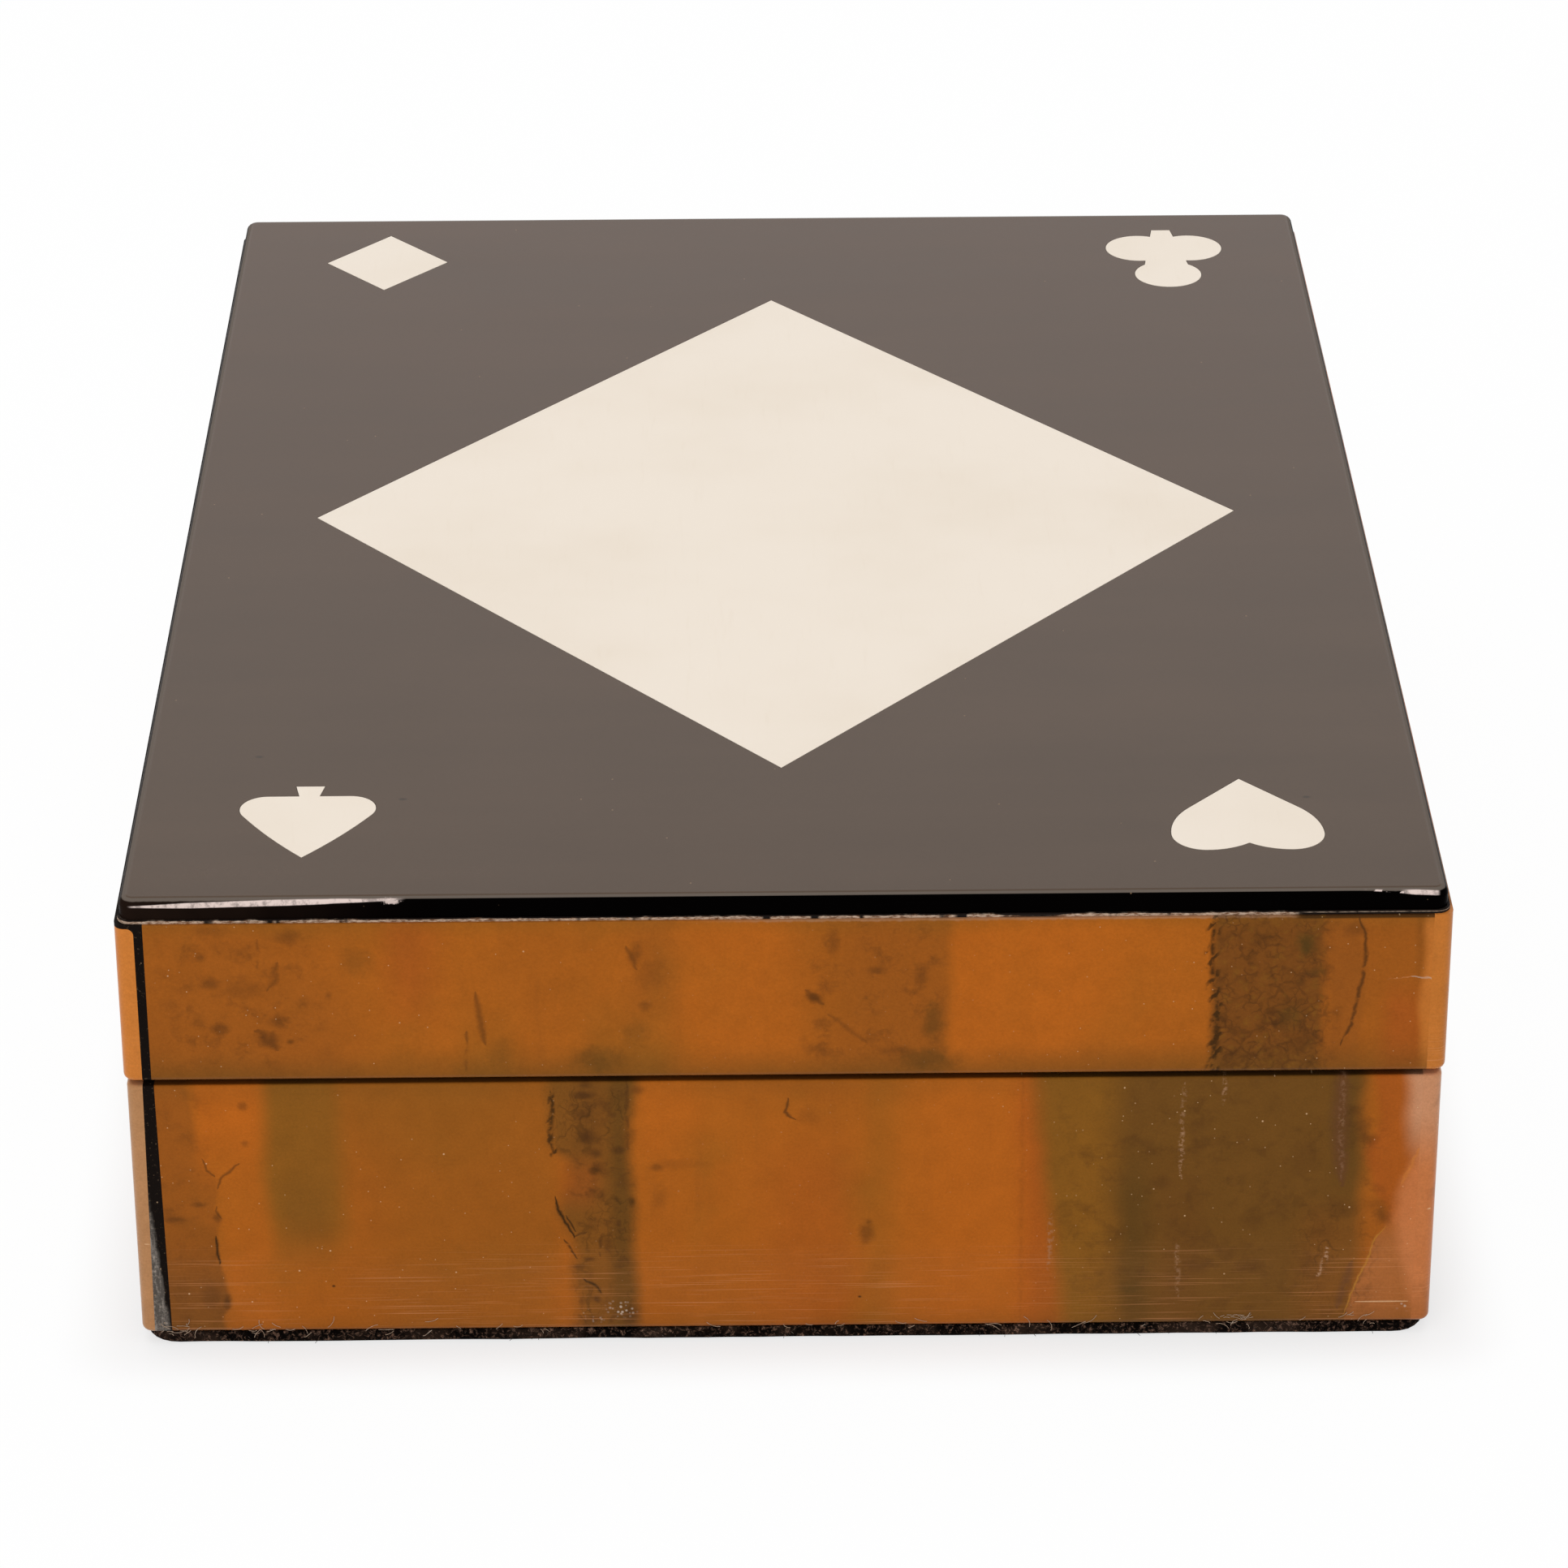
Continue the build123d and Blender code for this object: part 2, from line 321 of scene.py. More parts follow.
    def join(self, x: Value | float, y: Value | float, z: Value | float) -> Value:
        """A vector of three parts."""
        return self.value("ShaderNodeCombineXYZ", None, {0: x, 1: y, 2: z})

    def bump(self, height: Value, strength: float, distance_mm: float) -> Value:
        """A normal that is raised and sunk by a height from 0 to 1."""
        sockets = {"Height": height, "Strength": strength, "Distance": distance_mm * MM}
        return self.value("ShaderNodeBump", None, sockets, "Normal")

    def shader(
        self, colour: object, roughness: Value | float, constants: dict, normal: Value | None = None
    ) -> Value:
        """A Principled shader.

        Args:
            colour: Base colour.
            roughness: Roughness.
            constants: Values that are the same all over, by socket name.
            normal: Bumped normal.

        Returns:
            The shader's output.
        """
        sockets = {"Base Color": colour, "Roughness": roughness, **constants}
        if normal is not None:
            sockets["Normal"] = normal
        return self.value("ShaderNodeBsdfPrincipled", None, sockets)

    def blend(self, factor: Value | float, first: Value, second: Value) -> Value:
        """A shader that goes from the first to the second as the factor goes from 0 to 1."""
        return self.value("ShaderNodeMixShader", None, {0: factor, 1: first, 2: second})


def new_material(name: str) -> tuple[bpy.types.Material, Graph]:
    """An empty node material.

    Args:
        name: The material's name.

    Returns:
        The material and its graph.
    """
    material = bpy.data.materials.new(name)
    material.use_nodes = True
    return material, Graph(material.node_tree)


def close_material(graph: Graph, surface: Value) -> None:
    """Link a shader to a material's output."""
    graph.node("ShaderNodeOutputMaterial", None, {"Surface": surface})


def dress(node: str, material: bpy.types.Material) -> None:
    """Give a CAD node its finish.

    Args:
        node: The node's name.
        material: The finish.
    """
    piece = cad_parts[node]
    if not piece.material_slots:
        piece.data.materials.append(material)
    for slot in piece.material_slots:
        slot.material = material
    log.info("dressed %s with %s", node, material.name)


@dataclass(frozen=True)
class Patch:
    """A stretch of another shade across a veneer, in millimetres along it and above the table.

    Its start and end lie at one place, or along a path of points from the foot up.
    """

    start: float | Path
    end: float | Path
    shade: Shade
    strength: float
    soft_start: float = 1.0
    soft_end: float = 1.0
    low: float | None = None
    high: float | None = None
    soft_level: float = 2.0
    edge: Edge = Edge.CALM


@dataclass(frozen=True)
class Spot:
    """A smudge in the horn with a torn outline, or a scatter of specks."""

    centre: Point
    radii: Point
    shade: Shade
    strength: float
    torn: float = 1.2
    speckled: bool = False


@dataclass(frozen=True)
class Vein:
    """A thin line in the horn along a path, tapered to both ends; slanting dashes cross some."""

    path: Path
    width: float
    shade: Shade
    strength: float
    broken: float = 0.0
    dash_reach: float = 0.0
    edge: Edge = Edge.FINE
    dotted: bool = False


@dataclass(frozen=True)
class Veining:
    """A region of wisps, of small cells or of smoke."""

    start: float
    end: float
    low: float
    high: float
    strength: float
    scale: float
    soft: float = 1.0


@dataclass(frozen=True)
class Pattern:
    """Everything that is drawn on one veneer."""

    patches: tuple[Patch, ...] = ()
    spots: tuple[Spot, ...] = ()
    veins: tuple[Vein, ...] = ()
    wisps: tuple[Veining, ...] = ()
    cells: tuple[Veining, ...] = ()
    smoke: tuple[Veining, ...] = ()
    scratch_top: float = 0.0
    seed: float = 0.0


LID_FRONT = Pattern(
    patches=(
        Patch(-60, -41, Shade.TOBACCO, 0.5, soft_end=8),
        Patch(-45, -37, Shade.TOBACCO, 0.38, 4.0, 4.0, high=38, soft_level=5),
        Patch(-34.5, -30.5, Shade.RUST, 0.5, 2.0, 3.0, low=34, soft_level=5),
        Patch(-28.5, -23.5, Shade.OLIVE, 0.3, 1.5, 1.5, high=33, soft_level=4),
        Patch(-17.5, -9.5, Shade.OLIVE, 0.38, 2.5, 2.5, high=33, soft_level=5),
        Patch(-13.5, -9.5, Shade.TOBACCO, 0.35, 1.5, 2.0, low=34, soft_level=4),
        Patch(-9.5, 2.5, Shade.BRIGHT_AMBER, 0.45, 2.0, 3.0),
        Patch(2, 14.2, Shade.DEEP_AMBER, 0.65, 3.5, 0.7),
        Patch(5, 14.2, Shade.TOBACCO, 0.4, 3.5, 0.7),
        Patch(14.4, 30, Shade.BRIGHT_AMBER, 0.65, 0.7, 8),
        Patch(37.2, 47.0, Shade.UMBER, 0.8, 0.5, 0.7, edge=Edge.FINE),
        Patch(47.0, 50.4, Shade.TOBACCO, 0.7, 0.9, 0.5),
        Patch(50.4, 55.5, Shade.TOBACCO, 0.3, 0.5, 1.5),
        Patch(54.9, 55.8, Shade.UMBER, 0.3, 0.5, 0.5, low=36.5, soft_level=2.5),
        Patch(52.6, 55.8, Shade.RUST, 0.55, 1.2, 0.6, high=35.5, soft_level=2),
        Patch(55.7, 60, Shade.HONEY, 0.6, 0.5, 1.0),
        Patch(-60, 60, Shade.OLIVE_BROWN, 0.75, high=28.9, soft_level=2.4),
        Patch(-60, 60, Shade.OLIVE, 0.4, low=42.4, soft_level=1.2),
        Patch(44.4, 60, Shade.VEIN, 0.85, 0.8, 1.0, low=42.72, soft_level=0.12, edge=Edge.STRAIGHT),
        Patch(-4.0, 44.2, Shade.GLUE, 0.5, 5.0, 0.6, low=42.86, soft_level=0.12, edge=Edge.NICKED),
        # Painted shadow: black along the lid's lower edge, where the parting gap falls into shade.
        Patch(-60, 60, Shade.BLACK, 0.95, high=27.4, soft_level=0.05, edge=Edge.STRAIGHT),
    ),
    spots=(
        Spot((-50.6, 39.8), (0.6, 0.6), Shade.SMOKE, 0.45),
        Spot((-49.9, 37.2), (1.1, 0.8), Shade.SMOKE, 0.5),
        Spot((-47.3, 36.6), (2.8, 1.2), Shade.SMOKE, 0.28),
        Spot((-49.3, 32.6), (1.1, 0.8), Shade.SMOKE, 0.5),
        Spot((-45.0, 31.6), (1.3, 1.1), Shade.SMOKE, 0.4),
        Spot((-44.1, 33.4), (1.1, 1.0), Shade.SMOKE, 0.4),
        Spot((-43.2, 31.3), (0.4, 0.35), Shade.VEIN, 0.5),
        Spot((-47.3, 40.3), (0.9, 0.5), Shade.SMOKE, 0.25),
        Spot((-43.0, 41.8), (1.8, 0.8), Shade.SMOKE, 0.3),
        Spot((-49.5, 42.4), (2.2, 0.7), Shade.SMOKE, 0.22),
        Spot((-53.5, 35.0), (1.3, 0.9), Shade.SMOKE, 0.2),
        Spot((-37.2, 39.1), (1.9, 1.8), Shade.DARK_OLIVE, 0.3),
        Spot((-39.7, 35.9), (0.4, 0.5), Shade.SMOKE, 0.35),
        Spot((-12.8, 39.8), (0.7, 1.3), Shade.SMOKE, 0.45),
        Spot((-11.4, 37.8), (1.6, 2.2), Shade.SMOKE, 0.22),
        Spot((-12.2, 34.7), (0.8, 0.7), Shade.SMOKE, 0.4),
        Spot((-13.0, 31.9), (1.6, 1.8), Shade.DARK_OLIVE, 0.3),
        Spot((-16.3, 29.2), (2.6, 1.7), Shade.DARK_OLIVE, 0.5),
        Spot((-24.9, 30.2), (1.4, 1.6), Shade.DARK_OLIVE, 0.25),
        Spot((2.6, 35.3), (0.9, 0.6), Shade.VEIN, 0.5),
        Spot((8.0, 37.9), (1.2, 0.5), Shade.SMOKE, 0.45),
        Spot((11.8, 37.2), (0.8, 1.6), Shade.SMOKE, 0.38),
        Spot((4.2, 40.8), (0.7, 1.6), Shade.SMOKE, 0.38),
        Spot((9.6, 29.9), (2.0, 0.7), Shade.SMOKE, 0.38),
        Spot((13.0, 32.7), (1.2, 2.8), Shade.DARK_OLIVE, 0.55),
        Spot((12.3, 28.9), (3.4, 1.6), Shade.DARK_OLIVE, 0.55),
        Spot((45.3, 40.2), (1.1, 1.7), Shade.DARK_OLIVE, 0.85),
        Spot((44.2, 33.0), (1.6, 1.6), Shade.DARK_OLIVE, 0.4),
        Spot((46.2, 37.4), (0.9, 0.5), Shade.DARK_OLIVE, 0.4),
        Spot((49.6, 41.6), (1.6, 0.9), Shade.SMOKE, 0.35),
    ),
    veins=(
        Vein(((-44.1, 39.2), (-44.2, 37.6), (-45.0, 36.2)), 0.55, Shade.SMOKE, 0.42, edge=Edge.JAGGED),
        Vein(((-45.6, 41.6), (-45.7, 38.4)), 0.25, Shade.SMOKE, 0.3, broken=0.45),
        Vein(((-46.2, 32.6), (-45.2, 31.4), (-44.2, 30.6)), 0.75, Shade.SMOKE, 0.45, edge=Edge.JAGGED),
        Vein(((-26.9, 36.2), (-26.6, 33.8), (-26.2, 30.8)), 0.55, Shade.SMOKE, 0.5),
        Vein(((-27.7, 32.2), (-27.8, 31.2)), 0.26, Shade.SMOKE, 0.5),
        Vein(((-27.8, 31.4), (-27.9, 28.2)), 0.3, Shade.SMOKE, 0.3, broken=0.45),
        Vein(((-13.7, 40.6), (-13.2, 39.3), (-12.8, 38.2)), 0.42, Shade.SMOKE, 0.45),
        Vein(((1.6, 36.2), (3.4, 34.3)), 0.5, Shade.SMOKE, 0.5, edge=Edge.JAGGED),
        Vein(((3.6, 33.8), (7.6, 30.3)), 0.4, Shade.SMOKE, 0.3, broken=0.42),
        Vein(
            ((37.3, 44.4), (37.1, 38.5), (37.8, 32.5), (37.4, 26.0)), 0.42, Shade.VEIN, 0.85, 0.45, 0.9
        ),
        Vein(
            (
                (49.7, 43.2), (50.3, 41.2), (50.5, 39.3), (50.3, 36.8), (49.9, 34.6), (49.5, 32.2),
                (48.6, 30.0),
            ),
            0.32, Shade.SMOKE, 0.78, broken=0.37,
        ),
        Vein(((52.4, 36.6), (54.6, 36.9)), 0.07, Shade.SCRATCH, 0.4, broken=0.46),
        Vein(((54.4, 36.9), (56.2, 36.7), (56.8, 36.2)), 0.11, Shade.CHALK, 0.55, broken=0.42),
    ),
    cells=(Veining(37.5, 47.0, 26, 44, 0.9, 0.55, 0.6),),
    smoke=(
        Veining(-54, -40, 29, 42, 0.35, 0.55, 2.5),
        Veining(2, 14, 29, 43, 0.45, 0.45, 1.5),
        Veining(37.5, 48, 26, 44, 0.55, 0.5, 0.8),
        Veining(38.5, 48, 26, 33, 0.5, 0.8, 1.5),
    ),
    seed=3.1,
)

LEFT_TEAR = (
    (-50.2, 1.2), (-50.4, 2.9), (-49.7, 3.9), (-49.7, 4.6), (-50.0, 6.7), (-50.5, 8.8), (-50.5, 12.0),
    (-50.0, 13.1), (-50.7, 14.1), (-50.3, 15.9), (-50.1, 17.1), (-51.2, 18.0), (-51.4, 19.0),
    (-51.8, 21.6), (-52.3, 24.5), (-52.6, 26.7),
)
BAND_LEFT = (
    (-18.3, 1.2), (-18.8, 5.5), (-19.1, 7.6), (-18.7, 9.0), (-19.1, 11.0), (-20.2, 13.6), (-19.6, 15.2),
    (-19.0, 16.6), (-19.2, 18.6), (-20.7, 20.4), (-20.9, 26.7),
)
BAND_RIGHT = (
    (-13.4, 1.2), (-13.2, 5.5), (-13.6, 9.5), (-13.4, 14.4), (-13.8, 18.5), (-13.8, 22.5), (-13.0, 26.7),
)
ROSE_LEFT = (
    (50.1, 1.6), (50.6, 4.2), (51.3, 6.1), (51.9, 7.6), (52.5, 10.0), (53.3, 11.1), (53.5, 13.0),
    (52.4, 14.9), (51.9, 16.8), (51.3, 18.7), (51.6, 20.1), (52.2, 20.8), (52.5, 22.5), (51.9, 26.7),
)
PINK_LEFT = (
    (56.2, 1.5), (55.6, 5.0), (54.8, 8.5), (54.2, 12.0), (54.3, 14.5), (54.8, 16.1), (56.0, 19.1),
    (55.4, 26.7),
)
OLIVE_LEFT = ((24.8, 1.2), (24.0, 8.0), (23.2, 15.0), (22.6, 21.0), (22.2, 26.7))

BASE_FRONT = Pattern(
    patches=(
        Patch(-60, LEFT_TEAR, Shade.TOBACCO, 0.55, 1, 0.3, edge=Edge.NICKED),
        Patch(-60, LEFT_TEAR, Shade.UMBER, 0.6, 1, 0.3, high=10, soft_level=6, edge=Edge.NICKED),
        Patch(-60, -50, Shade.OLIVE_BROWN, 0.3, 1, 1.5, high=6, soft_level=5),
        Patch(-51.8, -46.2, Shade.BRIGHT_AMBER, 0.85, 0.8, 1.2, low=19, soft_level=5),
        Patch(-49.8, -45.8, Shade.BRIGHT_AMBER, 0.35, 0.8, 1.0, high=12, soft_level=4),
        Patch(-45.8, -39.2, Shade.OLIVE, 0.78, 1.0, 1.4, low=10.5, soft_level=4.0),
        Patch(-44.6, -40.6, Shade.OLIVE_BROWN, 0.3, 1.0, 1.0, low=9.5, high=17, soft_level=3.0),
        Patch(-39.5, -24.0, Shade.OLIVE, 0.45, 3.0, 5.0, low=20, soft_level=6),
        Patch(-38.0, -20.4, Shade.DEEP_AMBER, 0.42, 5, 1.0),
        Patch(-36.0, -20.4, Shade.OLIVE, 0.2, 5, 1.0),
        Patch(BAND_LEFT, BAND_RIGHT, Shade.OLIVE_BROWN, 0.76, 1.0, 0.9, edge=Edge.NICKED),
        Patch(-19.8, -16.6, Shade.RUST, 0.35, 1.0, 1.2, low=14.5, high=19, soft_level=1.6),
        Patch(-15.5, BAND_RIGHT, Shade.DARK_OLIVE, 0.52, 0.8, 0.9, edge=Edge.NICKED),
        Patch(-18.6, -16.0, Shade.UMBER, 0.4, 1.0, 1.0, low=19.5, soft_level=1.5),
        Patch(-12.8, -8.0, Shade.BRIGHT_AMBER, 0.45, 1.0, 1.5, low=19, soft_level=2),
        Patch(-2, 6, Shade.RUST, 0.3, 4.0, 1.5, high=20, soft_level=5),
        Patch(7.2, 9.6, Shade.OLIVE, 0.24, 1.0, 1.4),
        Patch(12.5, 21.8, Shade.BRIGHT_AMBER, 0.6, 4.0, 0.8),
        Patch(20.8, 24.2, Shade.RUST, 0.45, 1.5, 1.2),
        Patch(OLIVE_LEFT, 34.0, Shade.OLIVE, 0.9, 1.3, 2.0),
        Patch(29.0, 51.2, Shade.OLIVE_BROWN, 1.0, 2.0, 1.2),
        Patch(29.8, 32.2, Shade.DARK_OLIVE, 0.45, 0.9, 1.2, high=18, soft_level=5),
        Patch(33.2, 37.0, Shade.UMBER, 0.35, 1.2, 1.2, high=16, soft_level=4),
        Patch(48.2, 50.6, Shade.DARK_OLIVE, 0.35, 0.8, 1.2, low=16, soft_level=3),
        Patch(46.0, ROSE_LEFT, Shade.TOBACCO, 0.3, 2.0, 0.5, high=13, soft_level=3, edge=Edge.NICKED),
        Patch(ROSE_LEFT, 60, Shade.RUST, 0.52, 0.55, 1, low=11, soft_level=2, edge=Edge.NICKED),
        Patch(ROSE_LEFT, 60, Shade.TAWNY, 0.9, 0.3, 1, high=11.4, soft_level=2, edge=Edge.NICKED),
        Patch(PINK_LEFT, 60, Shade.ROSE, 0.8, 0.8, 1, edge=Edge.NICKED),
        Patch(54.4, 60, Shade.TOBACCO, 0.45, 1.5, 1, high=4.5, soft_level=2.5),
        Patch(54.9, 60, Shade.PALE_ROSE, 0.75, 0.8, 1.0, low=20, soft_level=3),
        Patch(-60, 60, Shade.OLIVE_BROWN, 0.4, high=1.9, soft_level=1.6),
        # Darker below the parting: partly the horn's olive-brown and partly painted shade under the lid's
        # overhang.
        Patch(-60, 51, Shade.OLIVE_BROWN, 0.2, low=25.4, soft_level=1.3),
        # Painted shadow: black along the base's upper edge, where the parting gap falls into shade.
        Patch(-60, 60, Shade.BLACK, 0.9, low=26.84, soft_level=0.05, edge=Edge.STRAIGHT),
    ),
    spots=(
        Spot((-49.9, 4.4), (0.5, 0.9), Shade.VEIN, 0.7),
        Spot((-51.4, 5.0), (1.4, 2.0), Shade.SMOKE, 0.35),
        Spot((-52.0, 14.6), (0.9, 0.4), Shade.SMOKE, 0.45),
        Spot((-54.4, 13.1), (1.3, 0.3), Shade.SMOKE, 0.35),
        Spot((-50.5, 13.2), (0.5, 0.5), Shade.SMOKE, 0.5),
        Spot((-47.7, 24.7), (0.5, 0.5), Shade.SMOKE, 0.4),
        Spot((-47.6, 20.9), (0.5, 0.5), Shade.SMOKE, 0.4),
        Spot((-40.4, 6.0), (0.2, 0.16), Shade.BLACK, 0.9, 0.2),
        Spot((6.6, 4.4), (0.2, 0.16), Shade.BLACK, 0.9, 0.2),
        Spot((-17.4, 21.3), (1.2, 0.9), Shade.SMOKE, 0.75),
        Spot((-16.7, 19.6), (0.7, 0.6), Shade.SMOKE, 0.65),
        Spot((-16.9, 17.8), (0.7, 0.6), Shade.VEIN, 0.6),
        Spot((-17.6, 25.5), (1.3, 0.5), Shade.SMOKE, 0.75),
        Spot((-17.6, 26.6), (0.7, 0.5), Shade.SMOKE, 0.5),
        Spot((-14.7, 19.9), (0.8, 0.5), Shade.SMOKE, 0.6),
        Spot((-13.6, 14.6), (0.4, 0.7), Shade.VEIN, 0.6),
        Spot((-14.8, 12.3), (0.3, 0.6), Shade.SMOKE, 0.6),
        Spot((-17.4, 8.6), (0.7, 0.35), Shade.SMOKE, 0.7),
        Spot((-18.6, 7.8), (0.7, 0.35), Shade.SMOKE, 0.55),
        Spot((-16.9, 4.4), (0.5, 0.5), Shade.SMOKE, 0.65),
        Spot((-18.3, 4.2), (0.4, 0.8), Shade.SMOKE, 0.5),
        Spot((-15.8, 10.0), (0.5, 1.2), Shade.SMOKE, 0.4),
        Spot((-13.8, 2.4), (1.0, 1.6), Shade.SMOKE, 0.5),
        Spot((-17.2, 2.2), (1.0, 0.7), Shade.SMOKE, 0.35),
        Spot((-13.0, 26.0), (0.8, 0.6), Shade.SMOKE, 0.4),
        Spot((-11.4, 18.1), (0.9, 0.5), Shade.SMOKE, 0.45),
        Spot((-9.6, 18.4), (3.0, 0.7), Shade.SMOKE, 0.2),
        Spot((-11.2, 14.8), (0.8, 2.0), Shade.SMOKE, 0.25),
        Spot((2.2, 23.2), (1.5, 1.2), Shade.SMOKE, 0.25),
        Spot((7.2, 11.2), (0.9, 1.6), Shade.SMOKE, 0.42),
        Spot((7.4, 12.2), (0.4, 0.4), Shade.VEIN, 0.45),
        Spot((33.2, 16.0), (1.2, 1.0), Shade.SMOKE, 0.32),
        Spot((30.9, 5.0), (1.2, 0.8), Shade.DARK_OLIVE, 0.5),
        Spot((41.6, 12.0), (1.3, 1.1), Shade.SMOKE, 0.3),
        Spot((41.4, 7.2), (2.0, 1.2), Shade.SMOKE, 0.2),
        Spot((46.0, 18.5), (1.8, 2.2), Shade.SMOKE, 0.25),
        Spot((53.0, 12.6), (1.2, 1.2), Shade.SMOKE, 0.5),
        Spot((52.4, 13.6), (1.4, 1.0), Shade.SMOKE, 0.3),
        Spot((51.6, 20.4), (1.2, 0.7), Shade.SMOKE, 0.38),
        Spot((50.2, 23.4), (0.9, 0.8), Shade.SMOKE, 0.3),
        Spot((49.2, 13.2), (2.2, 1.2), Shade.SMOKE, 0.3),
        Spot((47.8, 10.8), (1.6, 1.2), Shade.SMOKE, 0.3),
        Spot((-14.7, 3.3), (1.6, 1.1), Shade.CHALK, 1.0, 1.2, True),
        Spot((-17.2, 2.3), (1.0, 0.5), Shade.CHALK, 0.8, 1.2, True),
        Spot((55.6, 2.9), (1.0, 0.6), Shade.CHALK, 0.7, 1.2, True),
    ),
    veins=(
        Vein(((-51.5, 19.4), (-51.2, 18.2), (-50.4, 17.5)), 0.2, Shade.SMOKE, 0.6),
        Vein(((-50.3, 16.2), (-49.9, 17.3), (-49.2, 18.0), (-48.2, 18.9)), 0.22, Shade.SMOKE, 0.6),
        Vein(((-50.7, 11.4), (-50.6, 10.0), (-50.4, 8.4)), 0.24, Shade.VEIN, 0.95),
        Vein(((-50.4, 14.4), (-50.6, 14.0), (-50.0, 13.2)), 0.16, Shade.SMOKE, 0.6),
        Vein(
            ((-20.6, 26.2), (-20.5, 23.8), (-20.8, 21.6), (-20.5, 19.6)), 0.36, Shade.VEIN, 0.85, 0.5, 0.5
        ),
        Vein(((-20.4, 15.2), (-20.2, 13.8), (-18.8, 10.8)), 0.24, Shade.VEIN, 0.95),
        Vein(((-19.5, 13.2), (-18.7, 11.4)), 0.15, Shade.VEIN, 0.85),
        Vein(((-18.9, 10.9), (-17.6, 11.5)), 0.2, Shade.SMOKE, 0.7),
        Vein(((-19.7, 10.8), (-18.6, 8.6)), 0.2, Shade.VEIN, 0.8, 0.4),
        Vein(((-18.2, 6.6), (-17.4, 6.0), (-16.8, 5.6), (-16.5, 5.0)), 0.24, Shade.VEIN, 0.9),
        Vein(((-16.3, 11.4), (-16.6, 8.8)), 0.22, Shade.SMOKE, 0.5, broken=0.42),
        Vein(((-13.9, 26.9), (-13.9, 20.0)), 0.3, Shade.SMOKE, 0.5, broken=0.42),
        Vein(((0.3, 25.1), (0.0, 23.6), (1.0, 22.8)), 0.22, Shade.SMOKE, 0.75),
        Vein(((20.9, 28.0), (21.0, 1.0)), 0.4, Shade.SMOKE, 0.14, broken=0.42),
        Vein(((35.0, 22.2), (35.1, 16.4)), 0.4, Shade.LILAC, 0.75, dotted=True),
        Vein(((35.2, 26.4), (34.9, 21.0)), 0.35, Shade.LILAC, 0.4, dotted=True),
        Vein(((34.9, 10.0), (35.1, 4.0)), 0.4, Shade.LILAC, 0.4, dotted=True),
        Vein(((23.6, 13.0), (23.5, 7.0)), 0.4, Shade.LILAC, 0.45, dotted=True),
        Vein(((38.7, 27.0), (38.6, 24.0)), 0.35, Shade.LILAC, 0.6, dotted=True),
        Vein(((49.0, 29.0), (48.9, 21.5), (49.4, 15.4)), 1.3, Shade.PLUM, 0.75, broken=0.34),
        Vein(((49.1, 28.4), (49.0, 21.5), (49.3, 16.2)), 0.42, Shade.LILAC, 0.8, dotted=True),
        Vein(((48.4, 9.6), (48.1, 7.6), (47.4, 5.8)), 0.4, Shade.LILAC, 0.95, dotted=True),
        Vein(((50.6, 7.8), (50.1, 5.4), (49.4, 2.6)), 0.75, Shade.PLUM, 0.7, broken=0.36),
        Vein(
            ((53.5, 11.3), (52.5, 10.0), (51.9, 7.6), (51.3, 6.1), (50.6, 4.2), (50.0, 2.0)),
            0.14, Shade.STRAW, 0.6, edge=Edge.NICKED,
        ),
        Vein(((51.0, 3.4), (55.8, 3.4)), 0.1, Shade.DUST, 0.7, edge=Edge.STRAIGHT),
        Vein(((56.3, 19.8), (54.6, 15.6)), 0.3, Shade.HONEY, 0.5),
    ),
    wisps=(
        Veining(-20.4, -13.6, 19.5, 26.5, 0.38, 0.34, 0.7),
        Veining(-18.6, -13.6, 1.5, 16.0, 0.4, 0.34, 0.7),
        Veining(45.0, 52.6, 2, 16, 0.35, 0.26, 1.5),
    ),
    smoke=(
        Veining(-56, -50.4, 2, 26, 0.3, 0.4, 0.8),
        Veining(-19.2, -13.4, 1, 26, 0.6, 0.5, 0.7),
        Veining(24.0, 53.0, 1, 26.5, 0.42, 0.38, 2.5),
    ),
    scratch_top=11.0,
    seed=11.7,
)


def wandering(draw: random.Random, centre: float, low: float, high: float, reach: float) -> Path:
    """A path that wanders up a veneer.

    Args:
        draw: The draws.
        centre: The place along the veneer that it wanders about.
        low: Its lower end above the table.
        high: Its upper end above the table.
        reach: How far it strays to either side.

    Returns:
        The path, from its lower end.
    """
    steps = 5
    rise = (high - low) / steps
    return tuple((centre + draw.uniform(-reach, reach), low + rise * step) for step in range(steps + 1))


